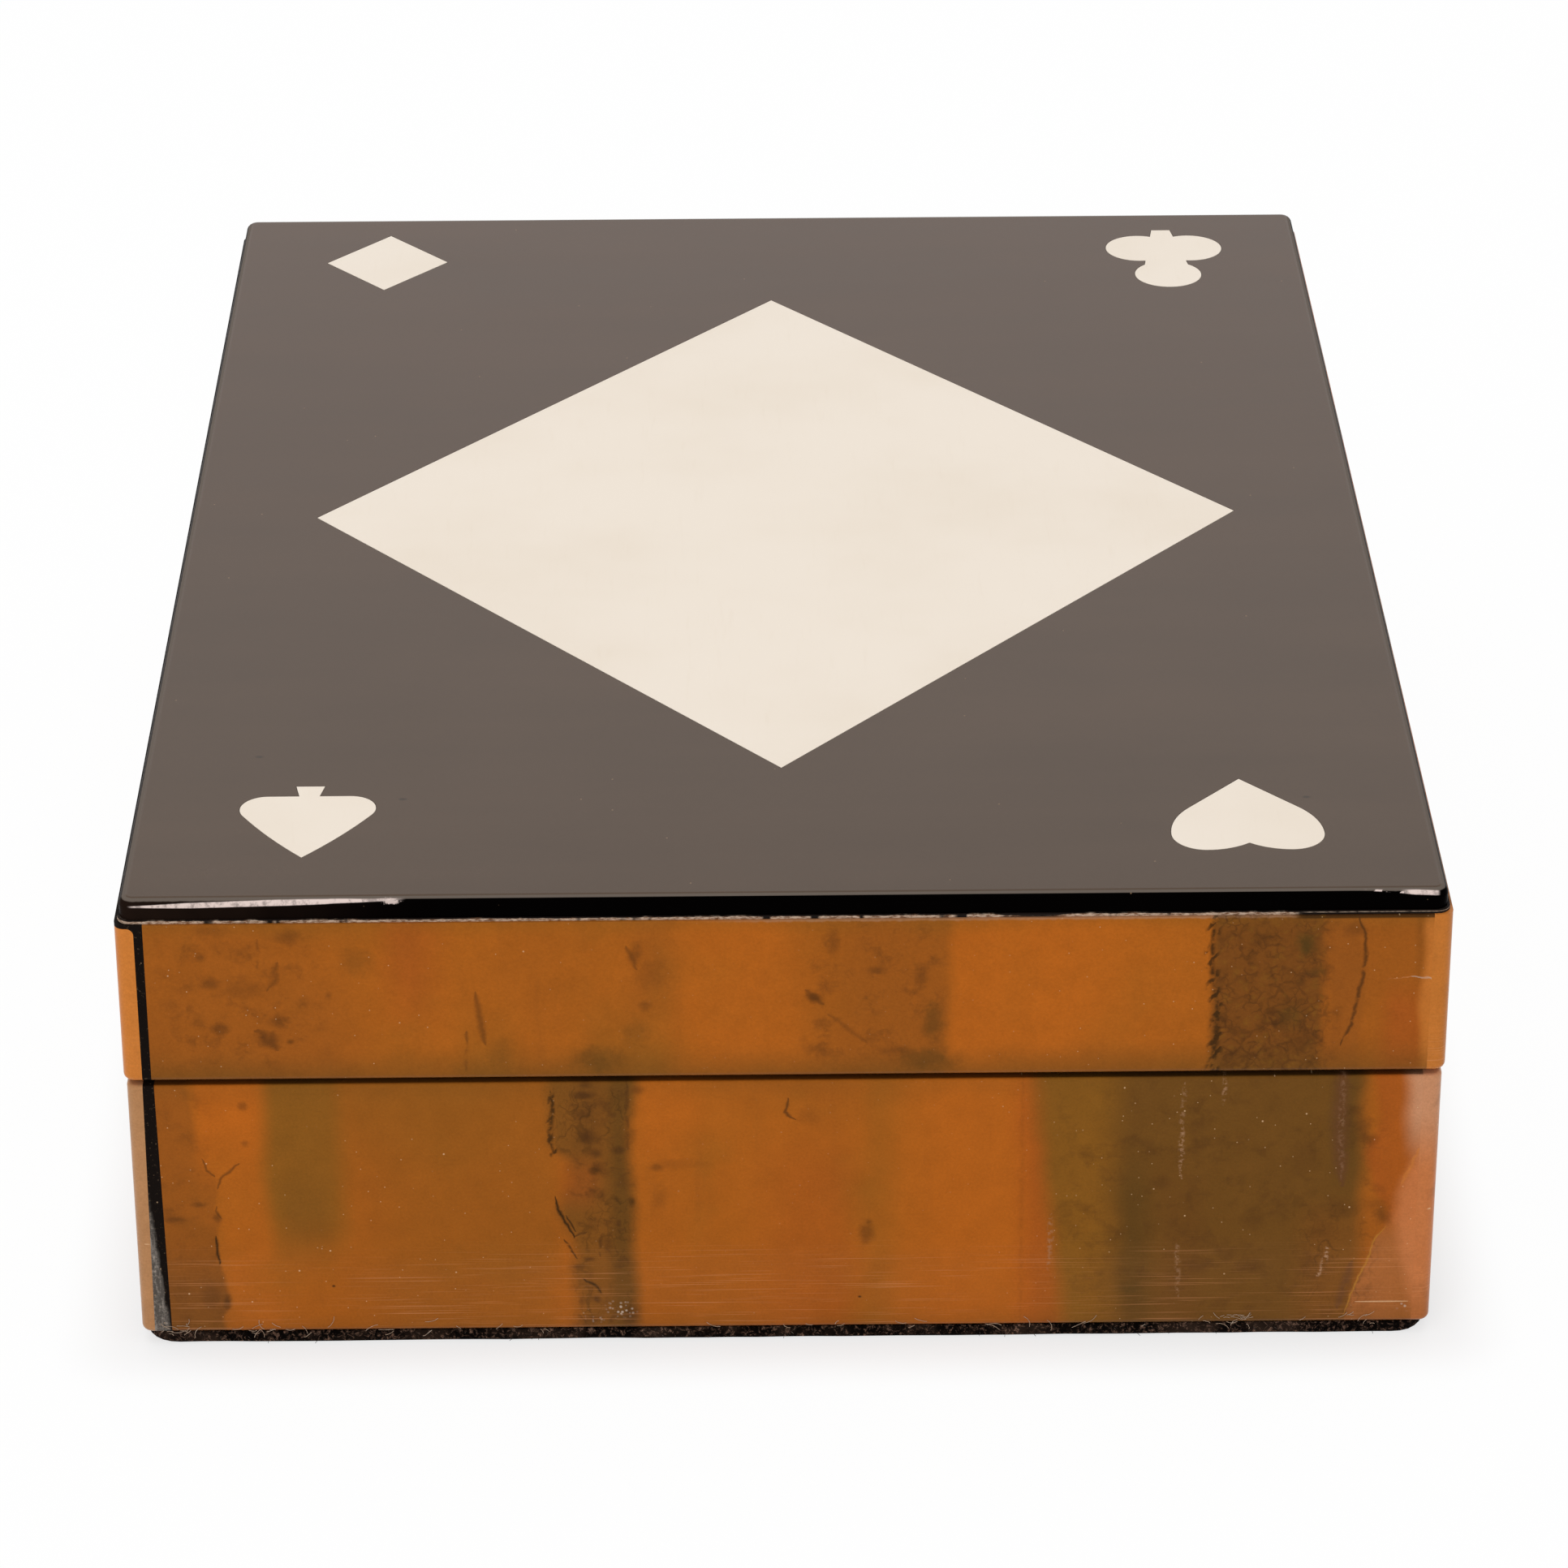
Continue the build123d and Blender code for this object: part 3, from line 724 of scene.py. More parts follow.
def hidden_pattern(
    first: float, last: float, low: float, high: float, seed: int, ends: tuple[Patch, ...]
) -> Pattern:
    """A pattern in the manner of the photographed front, for a veneer that the photograph hides.

    Args:
        first: Where the veneer starts, in millimetres along it.
        last: Where it ends.
        low: Its lower edge above the table.
        high: Its upper edge above the table.
        seed: Seed of the draws.
        ends: Patches at the veneer's ends, drawn last.

    Returns:
        The pattern.
    """
    draw = random.Random(seed)
    stripe_widths = (8, 26)
    band_widths = (4, 11)
    spot_count = 12
    shades = (
        Shade.BRIGHT_AMBER, Shade.TOBACCO, Shade.OLIVE, Shade.DEEP_AMBER, Shade.OLIVE_BROWN, Shade.RUST,
    )
    patches = []
    wisps = []
    cells = []
    smoke = []
    veins = []
    spots = []
    place = first
    while place < last:
        width = draw.uniform(*stripe_widths)
        shade = draw.choice(shades)
        edge = draw.choice((Edge.CALM, Edge.FINE, Edge.NICKED))
        strength = draw.uniform(0.3, 0.75)
        softness = (draw.choice((0.4, 1.5, 4.0)), draw.choice((0.4, 2.0, 5.0)))
        patches.append(Patch(place, place + width, shade, strength, *softness, edge=edge))
        if draw.random() < 0.4:
            smoke.append(Veining(place, place + width, low, high, draw.uniform(0.3, 0.6), 0.45, 2.0))
        place += width
    for centre in (draw.uniform(0.15, 0.4), draw.uniform(0.6, 0.85)):
        start = first + (last - first) * centre
        width = draw.uniform(*band_widths)
        left = wandering(draw, start, low - 1, high + 1, 0.6)
        right = wandering(draw, start + width, low - 1, high + 1, 0.8)
        softness = (draw.uniform(0.3, 0.6), draw.uniform(0.5, 1.6))
        patches.append(Patch(left, right, Shade.UMBER, 0.75, *softness, edge=Edge.NICKED))
        region = (start, start + width, low, high)
        if draw.random() < 0.5:
            cells.append(Veining(*region, 0.9, 0.55, 0.6))
        else:
            wisps.append(Veining(*region, 0.6, 0.34, 0.8))
        smoke.append(Veining(*region, 0.6, 0.45, 0.8))
        for foot, top in ((low, draw.uniform(0.2, 0.5)), (low + (high - low) * 0.6, 1.0)):
            crack = wandering(draw, start, foot, low + (high - low) * top, 0.5)
            veins.append(Vein(crack, 0.34, Shade.VEIN, 0.8, 0.48, 0.5))
    for _ in range(spot_count):
        centre = (draw.uniform(first, last), draw.uniform(low + 1, high - 1))
        radii = (draw.uniform(0.5, 2.2), draw.uniform(0.5, 1.8))
        shade = draw.choice((Shade.SMOKE, Shade.DARK_OLIVE))
        spots.append(Spot(centre, radii, shade, draw.uniform(0.3, 0.6)))
    patches.append(Patch(first, last, Shade.OLIVE_BROWN, 0.5, high=low + 1.7, soft_level=2.2))
    return Pattern(
        tuple(patches) + ends, tuple(spots), tuple(veins), tuple(wisps), tuple(cells), tuple(smoke),
        scratch_top=low + 7, seed=seed * 1.7,
    )


Axes = dict[Edge, tuple[Value, Value, Value]]
Traces = dict[tuple[Edge, Path], Value]


@dataclass(frozen=True)
class AmberHorn:
    """Polished amber horn: soft stripes, smoky spots, veins, fine scratches and dust."""

    side: Side
    pattern: Pattern
    specular: float = 0.25
    specular_tint: Colour = (1.0, 0.5, 0.12, 1.0)
    dash_slope: float = 52.0
    dash_spacing: float = 1.25
    dash_wander: float = 1.6
    scratch_strength: float = 0.38
    rub_strength: float = 0.03

    def board(self, graph: Graph) -> Value:
        """The point on the veneer as seen from outside: along it, up it and through it.

        Args:
            graph: The material's graph.

        Returns:
            The point in millimetres.
        """
        x, y, z = graph.split(graph.place())
        if self.side is Side.FRONT:
            return graph.join(x, z, y + self.pattern.seed)
        if self.side is Side.BACK:
            return graph.join(0.0 - x, z, y + self.pattern.seed)
        if self.side is Side.LEFT:
            return graph.join(0.0 - y, z, x + self.pattern.seed)
        return graph.join(y, z, x + self.pattern.seed)

    def ground(self, graph: Graph, board: Value) -> Value:
        """The horn's own colour before its marks.

        Args:
            graph: The material's graph.
            board: The point on the veneer.

        Returns:
            The colour.
        """
        drift = graph.noise(board, 0.05, 3.0)
        tint = graph.noise(graph.warped(board, 0.2, 3.0, 2.0), 0.11, 3.0)
        fibres = graph.noise(graph.vector("MULTIPLY", board, (0.55, 0.05, 1.5)), 1.0, 4.0, 0.6)
        colour = graph.mix(graph.step(drift, 0.35, 0.7), Shade.AMBER.value, Shade.DEEP_AMBER.value)
        colour = graph.mix(graph.step(tint, 0.5, 0.75) * 0.3, colour, Shade.OLIVE.value)
        return graph.mix(graph.step(fibres, 0.5, 0.85) * 0.3, colour, Shade.TOBACCO.value)

    def traced(self, graph: Graph, up: Value, path: Path) -> Value:
        """The place along the veneer of a path that goes up it, at each height.

        Args:
            graph: The material's graph.
            up: The height above the table.
            path: The path, from the foot up.

        Returns:
            The place in millimetres.
        """
        moved = path[0][0]
        for (place, level), (next_place, next_level) in zip(path, path[1:]):
            moved = moved + graph.value(
                "ShaderNodeMapRange",
                None,
                {"Value": up, "From Min": level, "From Max": next_level, "To Max": next_place - place},
            )
        return moved

    def past(
        self, graph: Graph, axes: Axes, traces: Traces, edge: Edge, limit: float | Path, soft: float
    ) -> Value:
        """Where a patch's limit is passed; a negative softness turns the two sides round.

        Args:
            graph: The material's graph.
            axes: The parts of the point for each kind of edge.
            traces: The distances past the paths that were traced before.
            edge: How the limit runs.
            limit: The place along the veneer, or a path.
            soft: Half the width of the change.

        Returns:
            0 before the limit and 1 past it.
        """
        along, up, _ = axes[edge]
        if not isinstance(limit, tuple):
            return graph.step(along, limit - soft, limit + soft)
        if (edge, limit) not in traces:
            traces[edge, limit] = along - self.traced(graph, up, limit)
        return graph.step(traces[edge, limit], -soft, soft)

    def patch_mask(self, graph: Graph, axes: Axes, traces: Traces, patch: Patch) -> Value:
        """Where a patch lies.

        Args:
            graph: The material's graph.
            axes: The parts of the point for each kind of edge.
            traces: The distances past the paths that were traced before.
            patch: The patch.

        Returns:
            The patch's strength inside it and 0 outside.
        """
        _, up, _ = axes[patch.edge]
        mask = self.past(graph, axes, traces, patch.edge, patch.start, patch.soft_start)
        mask = mask * self.past(graph, axes, traces, patch.edge, patch.end, -patch.soft_end)
        if patch.low is not None:
            mask = mask * graph.step(up, patch.low - patch.soft_level, patch.low + patch.soft_level)
        if patch.high is not None:
            mask = mask * graph.step(up, patch.high + patch.soft_level, patch.high - patch.soft_level)
        return mask * patch.strength

    def spot_mask(self, graph: Graph, point: Value, tear: Value, scatter: Value, spot: Spot) -> Value:
        """Where a spot lies.

        Args:
            graph: The material's graph.
            point: The point on the veneer.
            tear: Noise about 0 that tears the outline.
            scatter: Scattered specks.
            spot: The spot.

        Returns:
            The spot's strength at its middle and 0 outside.
        """
        shrink = (1 / spot.radii[0], 1 / spot.radii[1], 0.0)
        shift = (-spot.centre[0] / spot.radii[0], -spot.centre[1] / spot.radii[1], 0.0)
        local = graph.vector("MULTIPLY_ADD", point, shrink, shift)
        distance = graph.vector("LENGTH", local, output=1)
        distance = graph.math("MULTIPLY_ADD", tear, spot.torn, distance)
        mask = graph.step(distance, 1.2, 0.1, spot.strength)
        return mask * scatter if spot.speckled else mask

    def vein_mask(
        self, graph: Graph, points: dict[Edge, Value], breaks: Value, dots: Value, dashes: Value, vein: Vein
    ) -> Value:
        """Where a vein runs: near its path, thinner to both ends, broken by noise and crossed by dashes.

        Args:
            graph: The material's graph.
            points: The point moved about for each kind of edge.
            breaks: Noise that breaks a vein.
            dots: Dots that a dotted vein is made of.
            dashes: Slanting dashes all over the veneer.
            vein: The vein.

        Returns:
            The vein's strength along it and 0 outside.
        """
        distance = None
        travelled = None
        total = 0.0
        for start, end in zip(vein.path, vein.path[1:]):
            span = Vector((end[0] - start[0], end[1] - start[1], 0.0))
            shift = (-start[0], -start[1], 0.0)
            local = graph.vector("MULTIPLY_ADD", points[vein.edge], (1.0, 1.0, 0.0), shift)
            share = graph.vector("DOT_PRODUCT", local, tuple(span / span.length_squared), output=1)
            share = graph.value("ShaderNodeClamp", None, {"Value": share})
            beside = graph.vector("DISTANCE", local, graph.scaled(tuple(span), share), output=1)
            distance = beside if distance is None else graph.math("MINIMUM", distance, beside)
            passed = share * span.length
            travelled = passed if travelled is None else travelled + passed
            total += span.length
        share = travelled * (1 / total)
        fullness = graph.math("SQRT", share * (1.0 - share) * 4.0)
        mask = graph.step(distance, fullness * vein.width + 0.02, 0.0)
        if vein.broken:
            mask = mask * graph.step(breaks, vein.broken - 0.08, vein.broken + 0.12)
        if vein.dotted:
            mask = mask * dots
        if vein.dash_reach:
            reach = graph.step(distance, vein.dash_reach, vein.dash_reach * 0.3)
            mask = graph.math("MAXIMUM", mask, dashes * reach)
        return mask * vein.strength

    def dash_texture(self, graph: Graph, board: Value) -> Value:
        """Short slanting dashes all over the veneer, in irregular rows.

        Args:
            graph: The material's graph.
            board: The point on the veneer.

        Returns:
            1 in a dash.
        """
        slope = math.radians(self.dash_slope)
        across = graph.vector("DOT_PRODUCT", board, (-math.sin(slope), math.cos(slope), 0.0), output=1)
        wander = graph.noise(board, 0.6, 3.0, 0.6) * self.dash_wander
        wave = graph.math("SINE", (across + wander) * (2 * math.pi / self.dash_spacing))
        kept = graph.step(graph.noise(board, 0.75, 2.0, 0.6), 0.4, 0.52)
        return graph.step(wave, 0.0, 0.8) * kept

    def region(self, graph: Graph, axes: tuple[Value, Value, Value], veining: Veining) -> Value:
        """Where a region of veining lies.

        Args:
            graph: The material's graph.
            axes: The parts of the point.
            veining: The region.

        Returns:
            1 inside it and 0 outside.
        """
        along, up, _ = axes
        across = graph.between(along, veining.start, veining.end, veining.soft, veining.soft)
        return across * graph.between(up, veining.low, veining.high, veining.soft, veining.soft)

    def clouds(
        self, graph: Graph, points: dict[Edge, Value], calm: tuple[Value, Value, Value], colour: Value
    ) -> Value:
        """The colour with the pattern's smoke and small cells.

        Args:
            graph: The material's graph.
            points: The point moved about for each kind of edge.
            calm: The parts of the point for calm edges.
            colour: The colour so far.

        Returns:
            The colour.
        """
        point = points[Edge.JAGGED]
        for veining in self.pattern.smoke:
            cloud = graph.noise(point, veining.scale, 4.0, 0.62)
            mask = graph.step(cloud, 0.47, 0.74) * self.region(graph, calm, veining) * veining.strength
            colour = graph.mix(mask, colour, Shade.SMOKE.value)
        for veining in self.pattern.cells:
            region = self.region(graph, calm, veining) * veining.strength
            for finer in (1.0, 1.9):
                scale = veining.scale * finer
                cell = graph.cells(point, scale, "F1")
                seam = graph.cells(point, scale, "DISTANCE_TO_EDGE")
                open_seam = graph.step(graph.noise(point, scale * 0.7, 2.0), 0.42, 0.6)
                colour = graph.mix(graph.step(cell, 0.4, 0.0) * region * 0.4, colour, Shade.OLIVE.value)
                mask = graph.step(seam, 0.13, 0.0) * open_seam * region * 0.5
                colour = graph.mix(mask, colour, Shade.SMOKE.value)
        return colour

    def wisp_mask(
        self, graph: Graph, points: dict[Edge, Value], calm: tuple[Value, Value, Value], veining: Veining
    ) -> Value:
        """Where curling wisps run: ridges of noise at two sizes that come and go.

        Args:
            graph: The material's graph.
            points: The point moved about for each kind of edge.
            calm: The parts of the point for calm edges.
            veining: The region of the wisps.

        Returns:
            The region's strength in a wisp and 0 between them.
        """
        upright = graph.vector("MULTIPLY", points[Edge.JAGGED], (1.5, 0.75, 1.0))
        presence = graph.step(graph.noise(upright, veining.scale * 0.8, 2.0), 0.42, 0.6)
        mask = None
        for finer in (1.0, 2.3):
            swirl = graph.noise(upright, veining.scale * finer, 1.5)
            ridge = graph.step(abs(swirl - 0.5), 0.035, 0.0)
            mask = ridge if mask is None else graph.math("MAXIMUM", mask, ridge * 0.7)
        return mask * presence * self.region(graph, calm, veining) * veining.strength

    def marks(self, graph: Graph, board: Value, colour: Value) -> Value:
        """The colour with everything in the pattern.

        Args:
            graph: The material's graph.
            board: The point on the veneer.
            colour: The horn's own colour.

        Returns:
            The colour.
        """
        points = {
            Edge.STRAIGHT: board,
            Edge.NICKED: graph.warped(board, 1.6, 0.35, 3.0),
            Edge.CALM: graph.warped(board, 0.16, 1.6, 1.0),
            Edge.FINE: graph.warped(board, 1.1, 0.45, 2.0),
            Edge.JAGGED: graph.warped(board, 0.7, 1.5, 3.0),
        }
        axes = {edge: graph.split(point) for edge, point in points.items()}
        breaks = graph.noise(board, 0.9, 3.0, 0.6)
        tear = graph.noise(board, 0.9, 4.0, 0.65) - 0.5
        scatter = graph.specks(graph.vector("MULTIPLY", board, (1.0, 1.0, 0.1)), 2.8, 0.17, 0.75)
        dots = graph.step(graph.noise(board, 2.4, 2.0, 0.6), 0.44, 0.6)
        dashes = self.dash_texture(graph, board)
        traces = {}
        for patch in self.pattern.patches:
            colour = graph.mix(self.patch_mask(graph, axes, traces, patch), colour, patch.shade.value)
        colour = self.clouds(graph, points, axes[Edge.CALM], colour)
        for veining in self.pattern.wisps:
            mask = self.wisp_mask(graph, points, axes[Edge.CALM], veining)
            colour = graph.mix(mask, colour, Shade.VEIN.value)
        spots = {}
        for spot in self.pattern.spots:
            self.gather(graph, spots, spot.shade, self.spot_mask(graph, board, tear, scatter, spot))
        veins = {}
        for vein in self.pattern.veins:
            self.gather(graph, veins, vein.shade, self.vein_mask(graph, points, breaks, dots, dashes, vein))
        for masks in (spots, veins):
            for shade, mask in masks.items():
                colour = graph.mix(mask, colour, shade.value)
        return colour

    def gather(self, graph: Graph, masks: dict[Shade, Value], shade: Shade, mask: Value) -> None:
        """Join a mask to the others of its shade."""
        masks[shade] = graph.math("MAXIMUM", masks[shade], mask) if shade in masks else mask

    def wear(self, graph: Graph, board: Value, colour: Value) -> tuple[Value, Value]:
        """Fine scratches along the foot, and dust.

        Args:
            graph: The material's graph.
            board: The point on the veneer.
            colour: The colour so far.

        Returns:
            The colour, and the mask of the scratches.
        """
        along, up, _ = graph.split(board)
        top = self.pattern.scratch_top
        rubbed = graph.step(graph.noise(board, 0.06, 2.0), 0.28, 0.56) * graph.step(up, top, top - 4.0)
        long_lines = graph.noise(graph.vector("MULTIPLY", board, (0.07, 8.0, 0.0)), 1.0, 1.0)
        short_lines = graph.noise(graph.vector("MULTIPLY", board, (0.16, 11.0, 0.0)), 1.0, 1.0)
        lines = graph.math(
            "MAXIMUM", graph.step(long_lines, 0.62, 0.73), graph.step(short_lines, 0.64, 0.75) * 0.7
        )
        scratches = lines * rubbed
        paled = scratches * self.scratch_strength + rubbed * self.rub_strength
        colour = graph.mix(paled, colour, Shade.SCRATCH.value)
        flat = graph.vector("MULTIPLY", board, (1.0, 1.0, 0.12))
        dust = graph.math(
            "MAXIMUM", graph.specks(flat, 0.45, 0.12, 0.6) * 0.7, graph.specks(flat, 1.2, 0.075, 0.6) * 0.6
        )
        settled = 0.25 + graph.step(abs(along), 12.0, 32.0) * 0.75
        return graph.mix(dust * settled, colour, Shade.DUST.value), scratches

    def material(self, name: str) -> bpy.types.Material:
        """The finish as a material of this name.

        Args:
            name: The material's name.

        Returns:
            The material.
        """
        material, graph = new_material(name)
        board = self.board(graph)
        colour = self.marks(graph, board, self.ground(graph, board))
        mottle = graph.noise(graph.warped(board, 0.5, 1.5, 2.0), 0.45, 4.0, 0.6)
        grain = graph.noise(board, 4.5, 2.0, 0.7)
        colour = graph.scaled(colour, 0.65 + mottle * 0.3 + grain * 0.4)
        colour, scratches = self.wear(graph, board, colour)
        haze = graph.noise(board, 0.2, 3.0)
        roughness = 0.2 + haze * 0.16 + scratches * 0.3
        ripple = graph.noise(board, 0.25, 2.0)
        normal = graph.bump(ripple, 0.25, 0.15)
        constants = {"Specular IOR Level": self.specular, "Specular Tint": self.specular_tint}
        close_material(graph, graph.shader(colour, roughness, constants, normal))
        return material


@dataclass(frozen=True)
class BlackHorn:
    """Black horn: a hazed, polished top with faint streaks, and a darker edge with a painted grey
    reflection along its rim and painted highlights and a pale chip on the front arris.
    """

    top_height: float = 45.2
    edge_front: float = -78.55
    haze_near: Colour = screen_colour(57, 44, 34)
    haze_far: Colour = screen_colour(50, 28, 10)
    edge: Colour = screen_colour(2, 1, 1)
    edge_brown: Colour = screen_colour(30, 20, 15)
    # Grey of the painted reflection along the rounded upper rim of the edge.
    reflection_lip: Colour = screen_colour(102, 92, 84)
    # Pale colour of the painted highlights along the front arris and of the chip.
    wear: Colour = screen_colour(232, 212, 204)
    top_tint: Colour = (1.0, 0.6, 0.34, 1.0)
    pits: tuple[Point, ...] = ((46.71, -61.0), (-33.8, -60.0), (-47.15, -51.5))
    pit_radius: float = 0.3
    highlight_height: float = 44.98
    left_highlight: Point = (-56.4, -33.4)
    right_highlight: Point = (50.6, 56.6)
    chip: Point = (-34.0, 44.85)
    chip_shrink: Point = (1.1, 4.0)

    def top_colour(self, graph: Graph, place: Value) -> Value:
        """The haze on the top, with streaks across it, dust and pits.

        Args:
            graph: The material's graph.
            place: The point on the piece in millimetres.

        Returns:
            The colour.
        """
        _, y, _ = graph.split(place)
        colour = graph.mix(graph.step(y, -75.0, 75.0), self.haze_near, self.haze_far)
        streaks = graph.noise(graph.vector("MULTIPLY", place, (0.012, 0.09, 0.0)), 1.0, 4.0, 0.6)
        smears = graph.noise(graph.warped(place, 0.03, 20.0, 2.0), 0.05, 4.0, 0.6)
        grain = graph.noise(place, 3.0, 2.0, 0.7)
        colour = graph.scaled(colour, 0.35 + streaks * 0.6 + smears * 0.4 + grain * 0.3)
        flat = graph.vector("MULTIPLY", place, (1.0, 0.6, 0.1))
        dust = graph.math(
            "MAXIMUM", graph.specks(flat, 0.12, 0.22, 0.3) * 0.25, graph.specks(flat, 0.4, 0.12, 0.3) * 0.14
        )
        colour = graph.mix(dust, colour, Shade.DUST.value)
        for x, y in self.pits:
            local = graph.vector("MULTIPLY_ADD", place, (0.6, 1.0, 0.0), (-x * 0.6, -y, 0.0))
            distance = graph.vector("LENGTH", local, output=1)
            pit = graph.step(distance, self.pit_radius, self.pit_radius * 0.4)
            colour = graph.mix(pit * 0.95, colour, self.edge)
        return colour

    def arris_highlights_and_chip(self, graph: Graph, place: Value) -> Value:
        """Where the front arris is painted pale: a painted highlight as a long streak at the left and a
        short one at the right, and a pale chip.

        Args:
            graph: The material's graph.
            place: The point on the piece in millimetres.

        Returns:
            1 where it is rubbed and 0 elsewhere.
        """
        x, y, z = graph.split(place)
        wander = (graph.noise(place, 0.25, 2.0) - 0.5) * 0.1
        shine = 0.5 + graph.step(graph.noise(place, 1.3, 3.0, 0.7), 0.34, 0.56) * 0.5
        chip_x, chip_z = self.chip
        left_centre = self.highlight_height + (x - chip_x) * 0.019 + wander
        left_width = graph.between(x, -54.0, -38.0, 3.5, 6.0) * 0.16 + 0.05
        left = graph.step(abs(z - left_centre) - left_width, 0.05, -0.03)
        left = left * graph.between(x, *self.left_highlight, 0.4, 0.8)
        right_centre = self.highlight_height + (53.0 - x) * 0.045 + wander
        right_width = graph.step(x, 52.0, 55.0) * 0.12 + 0.04
        right = graph.step(abs(z - right_centre) - right_width, 0.05, -0.03)
        dots = graph.step(graph.noise(place, 1.5, 2.0), 0.5, 0.56)
        whole = graph.math("MAXIMUM", graph.step(x, 53.2, 54.2), dots)
        right = right * graph.between(x, *self.right_highlight, 0.5, 0.2) * whole
        torn = (graph.noise(place, 2.6, 4.0, 0.7) - 0.5) * 2.4
        shrink_x, shrink_z = self.chip_shrink
        shift = (-shrink_x * chip_x, 0.0, -shrink_z * chip_z)
        chip_place = graph.vector("MULTIPLY_ADD", place, (shrink_x, 0.0, shrink_z), shift)
        chip = graph.step(graph.vector("LENGTH", chip_place, output=1) + torn, 1.0, 0.5)
        near = graph.step(y, self.edge_front + 0.9, self.edge_front + 0.7)
        return graph.math("MAXIMUM", graph.math("MAXIMUM", left, right) * shine, chip * 0.8) * near

    def material(self, name: str) -> bpy.types.Material:
        """The finish as a material of this name.

        Args:
            name: The material's name.

        Returns:
            The material.
        """
        material, graph = new_material(name)
        place = graph.place()
        x, _, z = graph.split(place)
        streaks = graph.noise(graph.vector("MULTIPLY", place, (0.02, 0.14, 0.0)), 1.0, 4.0, 0.6)
        top = graph.shader(
            self.top_colour(graph, place), 0.13 + streaks * 0.12, {"Specular Tint": self.top_tint}
        )
        brown = graph.step(x, -30.0, -58.0) * (0.4 + graph.noise(place, 0.3, 2.0))
        edge_colour = graph.mix(brown, self.edge, self.edge_brown)
        flat = graph.vector("MULTIPLY", place, (1.0, 0.1, 1.0))
        edge_colour = graph.mix(graph.specks(flat, 0.5, 0.12, 0.35) * 0.35, edge_colour, Shade.DUST.value)
        # A painted grey reflection along the rounded upper rim of the edge, wider and more ragged at the
        # ends.
        reflection_wide_end = graph.math("MAXIMUM", graph.step(x, -33.0, -46.0), graph.step(x, 49.0, 55.0))
        ragged = graph.noise(place, 1.2, 3.0, 0.7) * reflection_wide_end * 0.1
        rise = z - self.top_height + 0.18 + reflection_wide_end * 0.02 + ragged
        reflection_lip = graph.step(rise, -0.02, 0.03 + reflection_wide_end * 0.05)
        edge_colour = graph.mix(reflection_lip, edge_colour, self.reflection_lip)
        # Painted highlights along the front arris, and the chip, in a pale colour.
        edge_colour = graph.mix(self.arris_highlights_and_chip(graph, place) * 0.95, edge_colour, self.wear)
        edge = graph.shader(edge_colour, 0.3, {"Specular IOR Level": 0.005})
        on_top = graph.step(z, self.top_height - 0.06, self.top_height - 0.01)
        close_material(graph, graph.blend(on_top, edge, top))
        return material


@dataclass(frozen=True)
class Bone:
    """Satin bone: faint clouds and short streaks in a warm white."""

    body: Colour = screen_colour(238, 226, 211)
    cloud: Colour = screen_colour(231, 217, 199)

    def material(self, name: str) -> bpy.types.Material:
        """The finish as a material of this name.

        Args:
            name: The material's name.

        Returns:
            The material.
        """
        material, graph = new_material(name)
        place = graph.place()
        clouds = graph.noise(place, 0.06, 3.0)
        streaks = graph.noise(graph.vector("MULTIPLY", place, (1.6, 0.14, 0.5)), 1.0, 3.0, 0.6)
        tone = graph.step(clouds, 0.35, 0.8) * 0.55 + graph.step(streaks, 0.55, 0.85) * 0.3
        colour = graph.mix(tone, self.body, self.cloud)
        normal = graph.bump(streaks, 0.1, 0.03)
        roughness = 0.3 + clouds * 0.12
        close_material(graph, graph.shader(colour, roughness, {"Specular IOR Level": 0.2}, normal))
        return material


@dataclass(frozen=True)
class BlackFiller:
    """Black filler in the corner joints, dusty, and grey towards the foot, where it is rubbed and carries a
    painted highlight along the rounded corner.
    """

    body: Colour = screen_colour(19, 13, 10)
    # Greys of the rubbed lower corner, which also stand for a painted highlight along its rounded edge.
    rubbed: Colour = screen_colour(92, 86, 80)
    bright: Colour = screen_colour(172, 162, 152)
    rub_and_highlight_start: Point = (-56.5, 16.0)
    rub_and_highlight_slope: float = 0.085

    def material(self, name: str) -> bpy.types.Material:
        """The finish as a material of this name.

        Args:
            name: The material's name.

        Returns:
            The material.
        """
        material, graph = new_material(name)
        place = graph.place()
        x, _, z = graph.split(place)
        speckle = graph.noise(place, 3.4, 4.0, 0.7)
        streaks = graph.noise(graph.vector("MULTIPLY", place, (2.6, 1.0, 0.45)), 1.0, 3.0, 0.6)
        # Grey towards the foot: rubbed filler together with a painted highlight along the rounded corner.
        front = x - self.rub_and_highlight_start[0] + (z - self.rub_and_highlight_start[1]) * self.rub_and_highlight_slope + (streaks - 0.5) * 0.9
        rub_and_highlight = graph.step(front, 0.2, -0.2) * graph.step(z, 17.0, 10.0)
        grey = graph.mix(graph.step(speckle * 0.5 + streaks * 0.5, 0.42, 0.66), self.rubbed, self.bright)
        colour = graph.mix(rub_and_highlight * 0.8, self.body, grey)
        flat = graph.vector("MULTIPLY", place, (1.0, 0.1, 1.0))
        dust = graph.step(speckle, 0.6, 0.72) * 0.16 + graph.specks(flat, 1.6, 0.1, 0.3) * 0.4
        colour = graph.mix(dust, colour, Shade.DUST.value)
        normal = graph.bump(speckle, 0.3, 0.08)
        close_material(graph, graph.shader(colour, 0.5, {"Specular IOR Level": 0.03}, normal))
        return material


